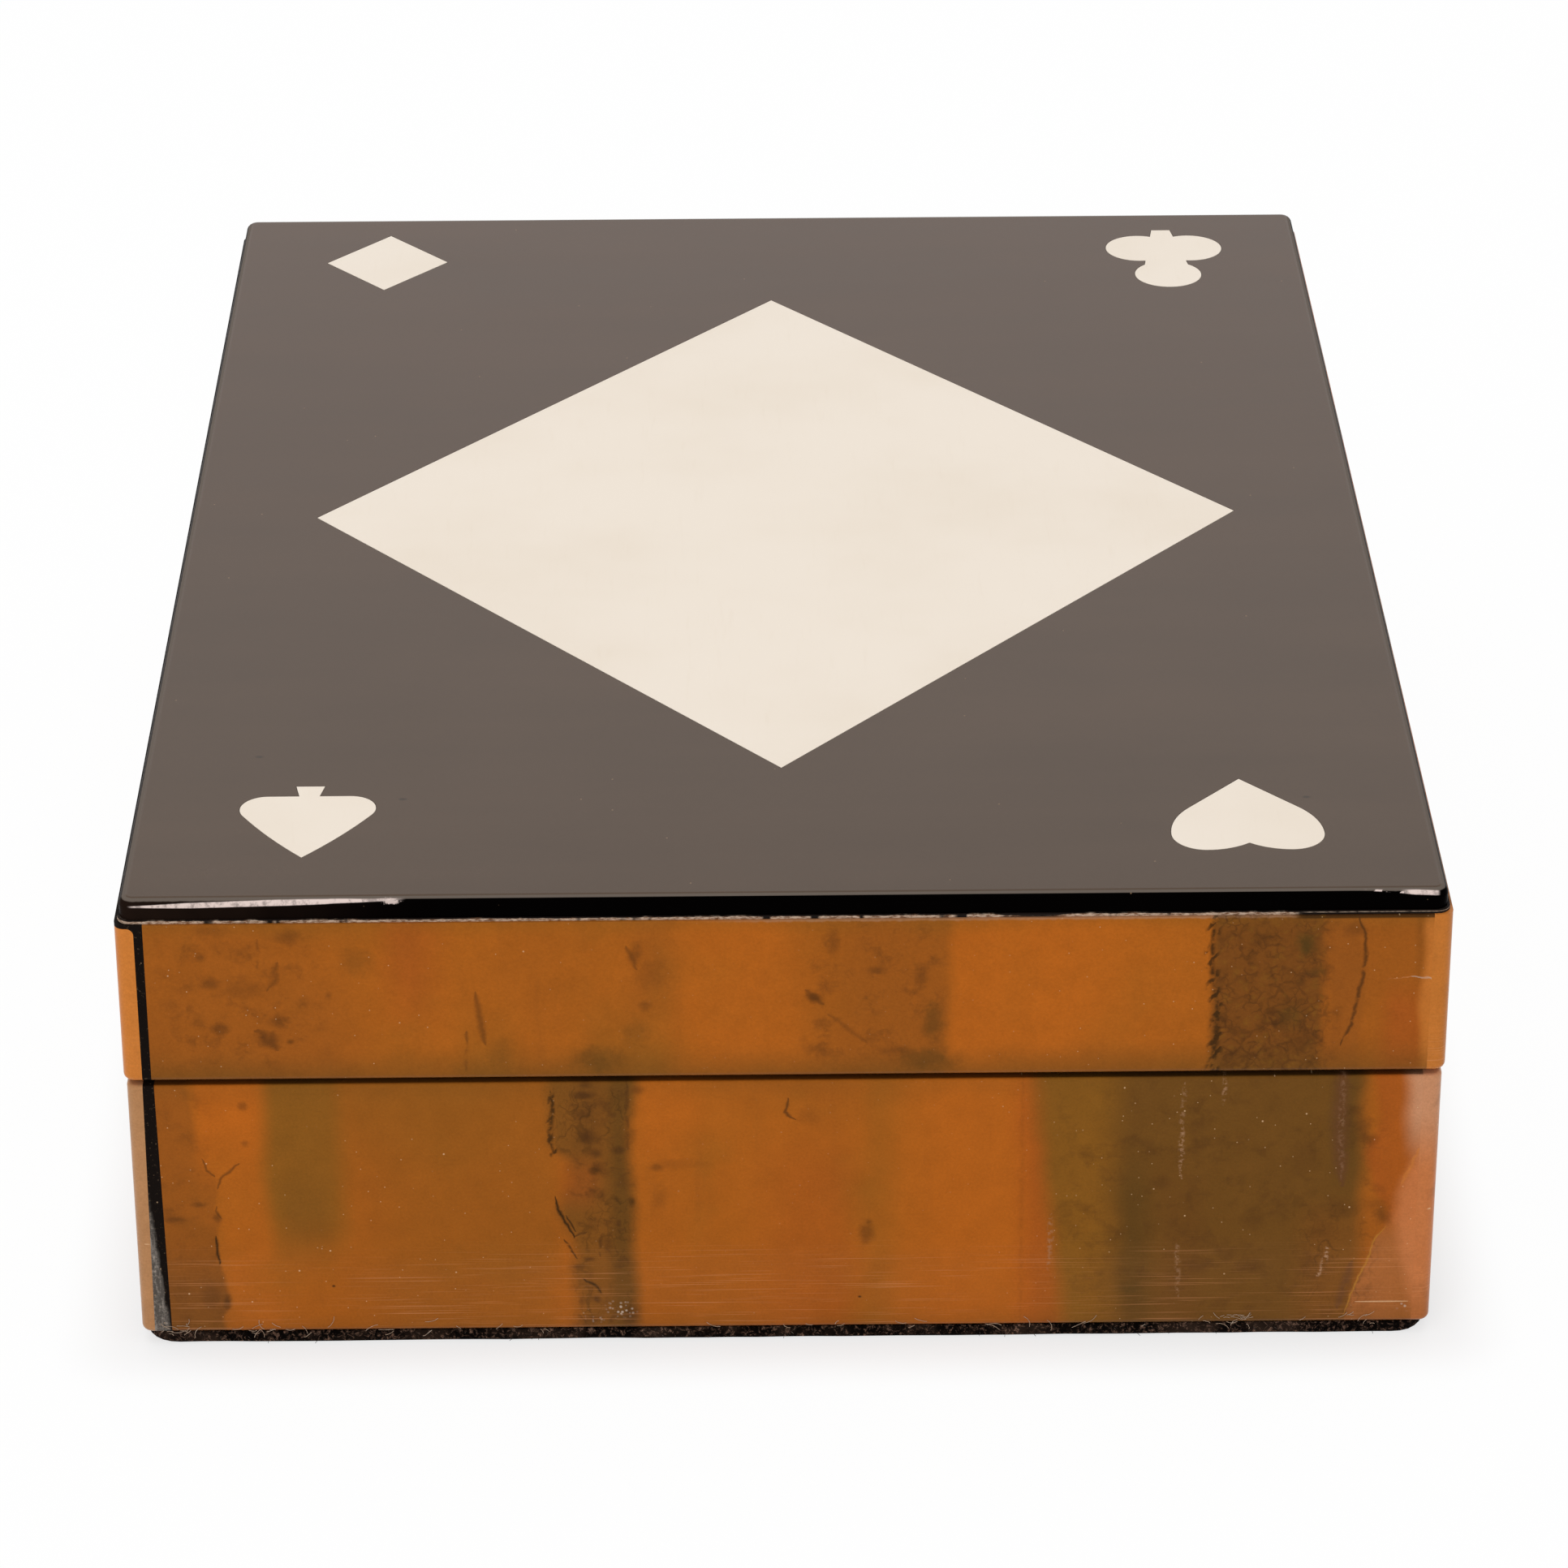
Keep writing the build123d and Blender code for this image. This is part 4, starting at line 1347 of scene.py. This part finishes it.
@dataclass(frozen=True)
class GlueLine:
    """Old glue under the top plate: a pale, crumbly line in a dark joint."""

    pale: Colour = screen_colour(206, 182, 160)
    tan: Colour = screen_colour(132, 92, 64)
    joint: Colour = screen_colour(20, 13, 10)
    level: float = 43.1
    thickest: float = 0.3
    chipped: Point = (18.5, 24.0)
    dark_from: float = 44.6

    def material(self, name: str) -> bpy.types.Material:
        """The finish as a material of this name.

        Args:
            name: The material's name.

        Returns:
            The material.
        """
        material, graph = new_material(name)
        place = graph.place()
        x, _, z = graph.split(place)
        lumps = graph.noise(graph.vector("MULTIPLY", place, (0.45, 0.45, 0.0)), 1.0, 4.0, 0.7)
        crumbs = graph.noise(graph.vector("MULTIPLY", place, (1.6, 1.6, 5.0)), 1.0, 3.0, 0.65)
        gone = graph.between(x, self.chipped[0], self.chipped[1], 0.8, 0.8) * 0.14
        reach = lumps * self.thickest - gone
        gaps = graph.noise(graph.vector("MULTIPLY", place, (0.55, 0.55, 0.0)), 1.0, 2.0)
        line = graph.step(abs(z - self.level) - reach, 0.05, -0.04) * graph.step(gaps, 0.36, 0.44)
        line = line * graph.step(x, self.dark_from + 0.6, self.dark_from - 0.6)
        colour = graph.mix(graph.step(crumbs, 0.36, 0.6), self.tan, self.pale)
        colour = graph.mix(line * (0.45 + crumbs * 0.9), self.joint, colour)
        hair = graph.step(abs(z - self.level - 0.12), 0.07, 0.02)
        hair = hair * graph.step(x, self.dark_from, self.dark_from + 1.0) * graph.step(crumbs, 0.3, 0.6)
        colour = graph.mix(hair * 0.5, colour, self.pale)
        normal = graph.bump(crumbs, 0.6, 0.15)
        close_material(graph, graph.shader(colour, 0.7, {"Specular IOR Level": 0.15}, normal))
        return material


@dataclass(frozen=True)
class Wood:
    """Planed hardwood with its grain along one axis."""

    grain: Grain
    light: Colour
    dark: Colour
    seed: float = 0.0

    def material(self, name: str) -> bpy.types.Material:
        """The finish as a material of this name.

        Args:
            name: The material's name.

        Returns:
            The material.
        """
        material, graph = new_material(name)
        along, across = 0.018, 0.3
        stretch = (along, across, across) if self.grain is Grain.ACROSS else (across, along, across)
        place = graph.vector("ADD", graph.place(), (self.seed, self.seed * 1.3, self.seed * 0.7))
        point = graph.vector("MULTIPLY", place, stretch)
        rings = graph.noise(point, 1.0, 4.0, 0.55)
        bands = abs(graph.math("SINE", rings * 26.0))
        pores = graph.noise(graph.vector("MULTIPLY", point, (9.0, 9.0, 9.0)), 1.0, 2.0)
        tone = graph.step(rings, 0.25, 0.8) * 0.6 + bands * 0.3 + graph.step(pores, 0.55, 0.8) * 0.4
        colour = graph.mix(tone, self.light, self.dark)
        normal = graph.bump(pores, 0.25, 0.06)
        roughness = 0.38 + bands * 0.14
        close_material(graph, graph.shader(colour, roughness, {"Specular IOR Level": 0.3}, normal))
        return material


@dataclass(frozen=True)
class Felt:
    """Pressed felt: matted fibres, small clumps and a soft sheen."""

    body: Colour
    lift: Colour
    sheen: float = 0.12
    fineness: float = 3.0

    def material(self, name: str) -> bpy.types.Material:
        """The finish as a material of this name.

        Args:
            name: The material's name.

        Returns:
            The material.
        """
        material, graph = new_material(name)
        place = graph.place()
        fibres = graph.noise(graph.warped(place, 1.2, 1.2, 2.0), self.fineness, 4.0, 0.75)
        clumps = graph.noise(place, 0.35, 3.0)
        tone = graph.step(fibres, 0.5, 0.74) * 0.85 + graph.step(clumps, 0.4, 0.8) * 0.12
        colour = graph.mix(tone, self.body, self.lift)
        normal = graph.bump(fibres, 0.8, 0.3)
        constants = {
            "Specular IOR Level": 0.05, "Sheen Weight": self.sheen, "Sheen Roughness": 0.6,
            "Sheen Tint": self.lift,
        }
        close_material(graph, graph.shader(colour, 0.95, constants, normal))
        return material


@dataclass(frozen=True)
class Veneers:
    """The horn veneers round one half of the box."""

    half: Half
    patterns: dict[Side, Pattern]

    def build(self) -> None:
        """Dress the four veneers."""
        for side, pattern in self.patterns.items():
            node = f"{self.half.value}_{side.value}_veneer"
            dress(node, AmberHorn(side, pattern).material(f"amber_horn_{self.half.value}_{side.value}"))


@dataclass(frozen=True)
class LidTop:
    """The black horn plate with its bone inlays, and the glue under it."""

    inlays: tuple[str, ...] = ("centre_diamond", "small_diamond", "club", "spade", "heart")

    def build(self) -> None:
        """Dress the plate, the inlays and the glue."""
        dress("lid_top_plate", BlackHorn().material("black_horn"))
        bone = Bone().material("bone_inlay")
        for inlay in self.inlays:
            dress(f"inlay_{inlay}", bone)
        dress("lid_glue_bed", GlueLine().material("glue_line"))


@dataclass(frozen=True)
class CornerSeams:
    """The black filler beside the left veneers."""

    def build(self) -> None:
        """Dress the filler of both halves."""
        filler = BlackFiller().material("black_filler")
        for half in Half:
            dress(f"{half.value}_corner_seams", filler)


@dataclass(frozen=True)
class Carcass:
    """The wooden walls, boards, liner and divider."""

    wall_light: Colour = screen_colour(150, 104, 62)
    wall_dark: Colour = screen_colour(104, 66, 36)
    liner_light: Colour = screen_colour(132, 74, 44)
    liner_dark: Colour = screen_colour(78, 38, 22)

    def grain(self, side: Side) -> Grain:
        """The grain of a board on one side, which runs along it."""
        return Grain.ACROSS if side in (Side.FRONT, Side.BACK) else Grain.AWAY

    def build(self) -> None:
        """Dress the boards."""
        for number, side in enumerate(Side):
            grain = self.grain(side)
            wall = Wood(grain, self.wall_light, self.wall_dark, 17.0 * number)
            walls = wall.material(f"carcass_wood_{side.value}")
            for half in Half:
                dress(f"{half.value}_{side.value}_wall", walls)
            liner = Wood(grain, self.liner_light, self.liner_dark, 29.0 * number)
            dress(f"liner_{side.value}", liner.material(f"liner_wood_{side.value}"))
        boards = Wood(Grain.AWAY, self.wall_light, self.wall_dark, 71.0).material("carcass_wood_boards")
        dress("base_bottom_board", boards)
        dress("lid_top_board", boards)
        divider = Wood(Grain.ACROSS, self.liner_light, self.liner_dark, 97.0)
        dress("well_divider", divider.material("liner_wood_divider"))


@dataclass(frozen=True)
class FeltSheet:
    """A sheet of felt that takes the place of a CAD solid."""

    name: str
    node: str
    half: Half
    slot: str
    rests_on: str
    held: Held
    corner_radius: float
    spacing: float = 2.5
    edge_wander: float = 0.25
    edge_waves: float = 140.0
    edge_shift: float = 900.0
    face_wander: float = 0.05
    face_waves: float = 90.0
    rounding: float = 0.22

    def cut_grid(self, mesh: bmesh.types.BMesh, width: float, length: float) -> None:
        """Cut a flat outline into a grid, so that its face can lie unevenly.

        Args:
            mesh: The flat outline, centred.
            width: Its width along X in metres.
            length: Its length along Y in metres.
        """
        for axis, size in ((0, width), (1, length)):
            count = round(size / (self.spacing * MM))
            normal = Vector((0.0, 0.0, 0.0))
            normal[axis] = 1.0
            for number in range(1, count):
                everything = mesh.verts[:] + mesh.edges[:] + mesh.faces[:]
                offset = normal * (number / count - 0.5) * size
                bmesh.ops.bisect_plane(mesh, geom=everything, dist=1e-7, plane_co=offset, plane_no=normal)

    def build(self, material: bpy.types.Material) -> None:
        """Args:
            material: The felt's finish.
        """
        low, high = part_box(self.node)
        size = high - low
        middle = (low + high) / 2
        mesh = bmesh.new()
        bmesh.ops.create_grid(mesh, x_segments=1, y_segments=1, size=0.5)
        bmesh.ops.scale(mesh, vec=(size.x, size.y, 1.0), verts=mesh.verts)
        bmesh.ops.bevel(
            mesh, geom=mesh.verts[:], offset=self.corner_radius * MM, offset_type="OFFSET", segments=6,
            profile=0.5, affect="VERTICES", material=-1,
        )
        self.cut_grid(mesh, size.x, size.y)
        for vertex in mesh.verts:
            if vertex.is_boundary:
                wave = noise.noise(vertex.co * self.edge_waves + middle * self.edge_shift)
                vertex.co -= vertex.co.normalized() * (abs(wave) * self.edge_wander * MM)
        bmesh.ops.translate(mesh, vec=(middle.x, middle.y, low.z), verts=mesh.verts)
        raised = bmesh.ops.extrude_face_region(mesh, geom=mesh.faces[:])["geom"]
        upper = [item for item in raised if isinstance(item, bmesh.types.BMVert)]
        bmesh.ops.translate(mesh, vec=(0.0, 0.0, size.z), verts=upper)
        bmesh.ops.recalc_face_normals(mesh, faces=mesh.faces[:])
        sharp = math.radians(60)
        rims = [edge for edge in mesh.edges if edge.calc_face_angle(0.0) > sharp and self.level(edge)]
        bmesh.ops.bevel(
            mesh, geom=rims, offset=self.rounding * MM, offset_type="OFFSET", segments=2,
            profile=0.5, affect="EDGES", material=-1,
        )
        self.settle(mesh, low.z, high.z)
        piece = new_piece(self.name, mesh, material)
        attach(piece, self.half.value)
        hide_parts(self.node)
        log.info("made %s, %.1f by %.1f mm", self.name, size.x / MM, size.y / MM)

    def level(self, edge: bmesh.types.BMEdge) -> bool:
        """Whether an edge runs level, along the rim of the sheet."""
        return abs(edge.verts[0].co.z - edge.verts[1].co.z) < SAME_LEVEL

    def settle(self, mesh: bmesh.types.BMesh, low: float, high: float) -> None:
        """Sink the sheet's free face unevenly by a little.

        Args:
            mesh: The sheet.
            low: Height of its lower face in metres.
            high: Height of its upper face in metres.
        """
        down = self.half is Half.LID
        free = low if down else high
        for vertex in mesh.verts:
            if abs(vertex.co.z - free) < SAME_LEVEL:
                sink = (0.5 + 0.5 * noise.noise(vertex.co * self.face_waves)) * self.face_wander * MM
                vertex.co.z += sink if down else -sink


@dataclass(frozen=True)
class LooseFibres:
    """Short fibres that stand out round the rim of the base felt, and pale lint caught above it."""

    nap_count: int = 620
    nap_length: Point = (0.25, 0.7)
    nap_radius: float = 0.022
    nap_reach: float = 0.3
    nap_droop: float = 0.3
    nap_bend: float = 0.06
    root_depth: float = 0.25
    corner_margin: float = 4.0
    lint_count: int = 76
    lint_length: Point = (0.4, 1.5)
    lint_radius: float = 0.024
    lint_gap: float = 0.05
    lint_levels: Point = (1.1, 2.2)
    lint_lowest: float = 0.7
    lint_spread: float = 55.0
    lint_limit: float = 56.0
    lint_slant: float = 0.9
    lint_curl: float = 1.6
    lint_joints: int = 4
    tufts: tuple[Point, ...] = ((-54.6, 1.6), (-46.6, 2.2), (40.2, 1.6), (50.6, 2.4))
    front: float = -78.8
    seed: int = 12

    def hair(self, mesh: bmesh.types.BMesh, points: list[Vector], radius: float) -> None:
        """Lay thin three-sided rods along a line of points, all in millimetres.

        Args:
            mesh: The mesh that gets them.
            points: The points.
            radius: The rods' radius.
        """
        for start, end in zip(points, points[1:]):
            span = end - start
            turn = span.to_track_quat("Z", "X").to_matrix().to_4x4()
            place = Matrix.Translation((start + end) * 0.5 * MM) @ turn
            bmesh.ops.create_cone(
                mesh, cap_ends=True, cap_tris=True, segments=3, radius1=radius * MM, radius2=radius * MM,
                depth=span.length * MM, matrix=place,
            )

    def nap(self, draw: random.Random) -> bmesh.types.BMesh:
        """Fibres along the four sides of the felt's rim.

        Args:
            draw: The draws.

        Returns:
            Their shape.
        """
        low, high = (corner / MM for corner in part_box("base_felt"))
        size = high - low
        mesh = bmesh.new()
        for _ in range(self.nap_count):
            along_x = draw.random() < size.x / (size.x + size.y)
            axis, side = (0, 1) if along_x else (1, 0)
            outward = draw.choice((-1.0, 1.0))
            start = Vector((0.0, 0.0, draw.uniform(low.z + 0.15, high.z - 0.1)))
            start[axis] = draw.uniform(low[axis] + self.corner_margin, high[axis] - self.corner_margin)
            start[side] = (high[side] if outward > 0 else low[side]) - outward * self.root_depth
            reach = draw.uniform(*self.nap_length)
            lean = Vector((0.0, 0.0, draw.uniform(-self.nap_droop, self.nap_droop)))
            lean[axis] = draw.uniform(-reach, reach)
            lean[side] = outward * draw.uniform(0.3, self.root_depth + self.nap_reach)
            bend = Vector([draw.uniform(-self.nap_bend, self.nap_bend) for _ in range(3)])
            end = start + lean
            end.z = max(end.z, low.z + 0.05)
            self.hair(mesh, [start, (start + end) * 0.5 + bend, end], self.nap_radius)
        return mesh

    def lint(self, draw: random.Random) -> bmesh.types.BMesh:
        """Curled hairs against the foot of the front veneer, thicker in a few tufts.

        Args:
            draw: The draws.

        Returns:
            Their shape.
        """
        mesh = bmesh.new()
        for number in range(self.lint_count):
            centre, spread = draw.choice(self.tufts) if number % 2 else (0.0, self.lint_spread)
            place = centre + draw.uniform(-spread, spread)
            level = draw.uniform(*self.lint_levels)
            length = draw.uniform(*self.lint_length)
            heading = draw.uniform(-self.lint_slant, self.lint_slant) + draw.choice((0.0, math.pi))
            curl = draw.uniform(-self.lint_curl, self.lint_curl)
            stride = length / self.lint_joints
            points = []
            for _ in range(self.lint_joints + 1):
                points.append(Vector((place, self.front - self.lint_gap - draw.uniform(0.0, 0.05), level)))
                place = max(min(place + math.cos(heading) * stride, self.lint_limit), -self.lint_limit)
                level = max(level + math.sin(heading) * stride, self.lint_lowest)
                heading += curl / self.lint_joints
            self.hair(mesh, points, self.lint_radius)
        return mesh

    def build(self, nap_finish: bpy.types.Material, lint_finish: bpy.types.Material) -> None:
        """Make the fibres and the lint, which stay on the base.

        Args:
            nap_finish: The finish of the fibres.
            lint_finish: The finish of the lint.
        """
        draw = random.Random(self.seed)
        pieces = (
            new_piece("felt_nap", self.nap(draw), nap_finish),
            new_piece("felt_lint", self.lint(draw), lint_finish),
        )
        for piece in pieces:
            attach(piece, Half.BASE.value)
            log.info("made %s", piece.name)


def new_piece(name: str, mesh: bmesh.types.BMesh, material: bpy.types.Material) -> bpy.types.Object:
    """Turn a bmesh into an object at the origin.

    Args:
        name: The piece's name.
        mesh: Its shape, which is used up.
        material: Its finish.

    Returns:
        The piece.
    """
    data = bpy.data.meshes.new(name)
    mesh.to_mesh(data)
    mesh.free()
    data.materials.append(material)
    data.shade_smooth()
    data.set_sharp_from_angle(angle=math.radians(40))
    piece = bpy.data.objects.new(name, data)
    bpy.context.scene.collection.objects.link(piece)
    return piece


@dataclass(frozen=True)
class Lamp:
    """A square soft light that faces the box, with its place and side in metres and its power in watts."""

    name: str
    place: tuple[float, float, float]
    size: float
    power: float

    def build(self) -> None:
        """Hang the light."""
        light = bpy.data.lights.new(self.name, "AREA")
        light.shape = "SQUARE"
        light.size = self.size
        light.energy = self.power
        lamp = bpy.data.objects.new(self.name, light)
        lamp.location = self.place
        lamp.rotation_euler = (-Vector(self.place)).to_track_quat("-Z", "Y").to_euler()
        lamp.visible_glossy = False
        bpy.context.scene.collection.objects.link(lamp)


@dataclass(frozen=True)
class Studio:
    """A plain pale floor, soft lights and a white surrounding."""

    floor_size: float = 6.0
    floor_colour: Colour = (0.9, 0.9, 0.9, 1.0)
    floor_cloud: Colour = (0.86, 0.86, 0.86, 1.0)
    foot: tuple[float, float, float] = (57.7, 78.7, 0.0)
    glow_near: float = 0.66
    glow_far: float = 0.965
    glow_reach: float = 9.0
    ambient: float = 0.62
    lamps: tuple[Lamp, ...] = (
        Lamp("overhead", (-0.15, 0.2, 1.4), 1.4, 7.0),
        Lamp("front_fill", (-0.5, -1.4, 0.9), 1.2, 7.0),
    )

    def floor(self) -> None:
        """Lay the floor."""
        material, graph = new_material("floor")
        place = graph.place()
        tone = graph.noise(place, 0.004, 2.0)
        colour = graph.mix(tone * 0.1, self.floor_colour, self.floor_cloud)
        matt = graph.shader(colour, 0.9, {"Specular IOR Level": 0.0})
        glow = graph.value("ShaderNodeEmission", None, {"Strength": 1.0})
        # The glow share is lower near the box's foot, which lets the rendered shadow show more there and
        # also paints a faint shade round the foot.
        outside = graph.vector("SUBTRACT", graph.vector("ABSOLUTE", place), self.foot)
        outside = graph.vector("MAXIMUM", outside, (0.0, 0.0, 0.0))
        outside = graph.vector("MULTIPLY", outside, (1.0, 1.0, 0.0))
        distance = graph.vector("LENGTH", outside, output=1)
        more = self.glow_far - self.glow_near
        share = self.glow_near + graph.step(distance, 0.0, self.glow_reach) * more
        close_material(graph, graph.blend(self.seen(graph) * share, matt, glow))
        mesh = bmesh.new()
        bmesh.ops.create_grid(mesh, x_segments=4, y_segments=4, size=self.floor_size / 2)
        new_piece("floor", mesh, material)

    def seen(self, graph: Graph) -> Value:
        """1 for rays from the camera, a mirror or glass, and 0 for the light that falls on things.

        Args:
            graph: The graph of the floor or the world.

        Returns:
            The mask.
        """
        paths = graph.node("ShaderNodeLightPath").outputs
        camera = Value(graph, paths["Is Camera Ray"])
        glossy = Value(graph, paths["Is Glossy Ray"])
        glass = Value(graph, paths["Is Transmission Ray"])
        return graph.math("MAXIMUM", graph.math("MAXIMUM", camera, glossy), glass)

    def surroundings(self) -> None:
        """Make the world white where it is seen, and a soft light elsewhere."""
        world = bpy.data.worlds.new("surroundings")
        world.use_nodes = True
        graph = Graph(world.node_tree)
        white = (1.0, 1.0, 1.0, 1.0)
        light = graph.value("ShaderNodeBackground", None, {"Color": white, "Strength": self.ambient})
        backdrop = graph.value("ShaderNodeBackground", None, {"Color": white, "Strength": 1.0})
        both = graph.blend(self.seen(graph), light, backdrop)
        graph.node("ShaderNodeOutputWorld", None, {"Surface": both})
        bpy.context.scene.world = world

    def build(self) -> None:
        """Set up the studio."""
        self.floor()
        self.surroundings()
        for lamp in self.lamps:
            lamp.build()
        log.info("set up the studio")


@dataclass(frozen=True)
class PhotoCamera:
    """The camera of the photograph."""

    place: tuple[float, float, float] = (-3.6, -518.82, 284.3)
    yaw: float = 0.473
    pitch: float = 27.405
    roll: float = -0.258
    lens: float = 133.21
    sensor: float = 36.0

    def build(self) -> None:
        """Make the camera and let the scene look through it."""
        yaw, pitch, roll = (math.radians(angle) for angle in (self.yaw, self.pitch, self.roll))
        level = math.cos(pitch)
        forward = Vector((math.sin(yaw) * level, math.cos(yaw) * level, -math.sin(pitch)))
        right = Vector((math.cos(yaw), -math.sin(yaw), 0.0))
        up = right.cross(forward)
        turned_right = math.cos(roll) * right + math.sin(roll) * up
        turned_up = math.cos(roll) * up - math.sin(roll) * right
        data = bpy.data.cameras.new("photo_camera")
        data.lens = self.lens
        data.sensor_width = self.sensor
        camera = bpy.data.objects.new("photo_camera", data)
        turn = Matrix((turned_right, turned_up, -forward)).transposed().to_4x4()
        camera.matrix_world = Matrix.Translation(Vector(self.place) * MM) @ turn
        bpy.context.scene.collection.objects.link(camera)
        bpy.context.scene.camera = camera
        log.info("set up the camera")


def left_end(deep: float, shade: Shade, strength: float) -> Patch:
    """The end of a left veneer, which shows at the front corner."""
    return Patch(deep - 1.6, deep + 1, shade, strength, 0.5, 1.0)


def right_end(deep: float, shade: Shade, strength: float, **levels: float) -> Patch:
    """The end of a right veneer, which shows at the front corner, or the part of it at these levels."""
    return Patch(-deep - 1, -deep + 1.8, shade, strength, 1.0, 0.6, **levels)


def base_patterns() -> dict[Side, Pattern]:
    """The patterns of the base's veneers.

    Returns:
        The pattern of each side.
    """
    low, high, wide, deep = 1.2, 26.9, 56.1, 78.8
    left = (left_end(deep, Shade.PALE_HONEY, 0.9),)
    # The pale rose at the right ends is partly the veneers' end colour and partly a painted highlight along
    # the rounded corner.
    right = (
        right_end(deep, Shade.ROSE, 0.9),
        right_end(deep, Shade.PALE_ROSE, 0.7, low=20, soft_level=4),
        right_end(deep, Shade.TOBACCO, 0.5, high=4, soft_level=3),
    )
    return {
        Side.FRONT: BASE_FRONT,
        Side.BACK: hidden_pattern(-wide, wide, low, high, 5, ()),
        Side.LEFT: hidden_pattern(-deep, deep, low, high, 14, left),
        Side.RIGHT: hidden_pattern(-deep, deep, low, high, 23, right),
    }


def lid_patterns() -> dict[Side, Pattern]:
    """The patterns of the lid's veneers.

    Returns:
        The pattern of each side.
    """
    low, high, wide, deep = 27.3, 43.0, 56.3, 79.0
    left = (left_end(deep, Shade.HONEY, 0.95),)
    right = (right_end(deep, Shade.HONEY, 0.7),)
    return {
        Side.FRONT: LID_FRONT,
        Side.BACK: hidden_pattern(-wide, wide, low, high, 32, ()),
        Side.LEFT: hidden_pattern(-deep, deep, low, high, 41, left),
        Side.RIGHT: hidden_pattern(-deep, deep, low, high, 50, right),
    }


@dataclass(frozen=True)
class Felts:
    """The four sheets of felt, and the loose fibres of the lowest one."""

    base_corner: float = 3.2
    lining_corner: float = 0.8
    black: Felt = Felt(screen_colour(5, 2, 1), screen_colour(150, 117, 98), 0.0, 2.3)
    loose: Felt = Felt(screen_colour(40, 32, 28), screen_colour(150, 138, 128))
    lint: Felt = Felt(screen_colour(190, 164, 140), screen_colour(236, 222, 206))
    lining: Felt = Felt(screen_colour(26, 24, 24), screen_colour(66, 62, 60))

    def build(self) -> None:
        """Make the sheets and the fibres."""
        black = self.black.material("black_felt")
        loose = self.loose.material("loose_fibres")
        lint = self.lint.material("lint")
        lining = self.lining.material("well_felt")
        FeltSheet(
            "base_felt_sheet", "base_felt", Half.BASE, "black_felt", "base_bottom_board",
            Held.STRETCHED, self.base_corner,
        ).build(black)
        for well in ("front", "back"):
            FeltSheet(
                f"{well}_well_felt", f"{well}_well_lining", Half.BASE, "well_felt", "base_bottom_board",
                Held.LAID, self.lining_corner,
            ).build(lining)
        FeltSheet(
            "lid_felt", "lid_lining", Half.LID, "well_felt", "lid_top_board",
            Held.STRETCHED, self.lining_corner,
        ).build(lining)
        LooseFibres().build(loose, lint)


def main() -> None:
    """Dress the box and set up the camera and the studio."""
    logging.basicConfig(level=logging.INFO, format="%(message)s")
    bpy.context.scene.view_settings.view_transform = "Standard"
    PhotoCamera().build()
    Studio().build()
    LidTop().build()
    Veneers(Half.LID, lid_patterns()).build()
    Veneers(Half.BASE, base_patterns()).build()
    CornerSeams().build()
    Carcass().build()
    Felts().build()


if __name__ == "__main__":
    main()
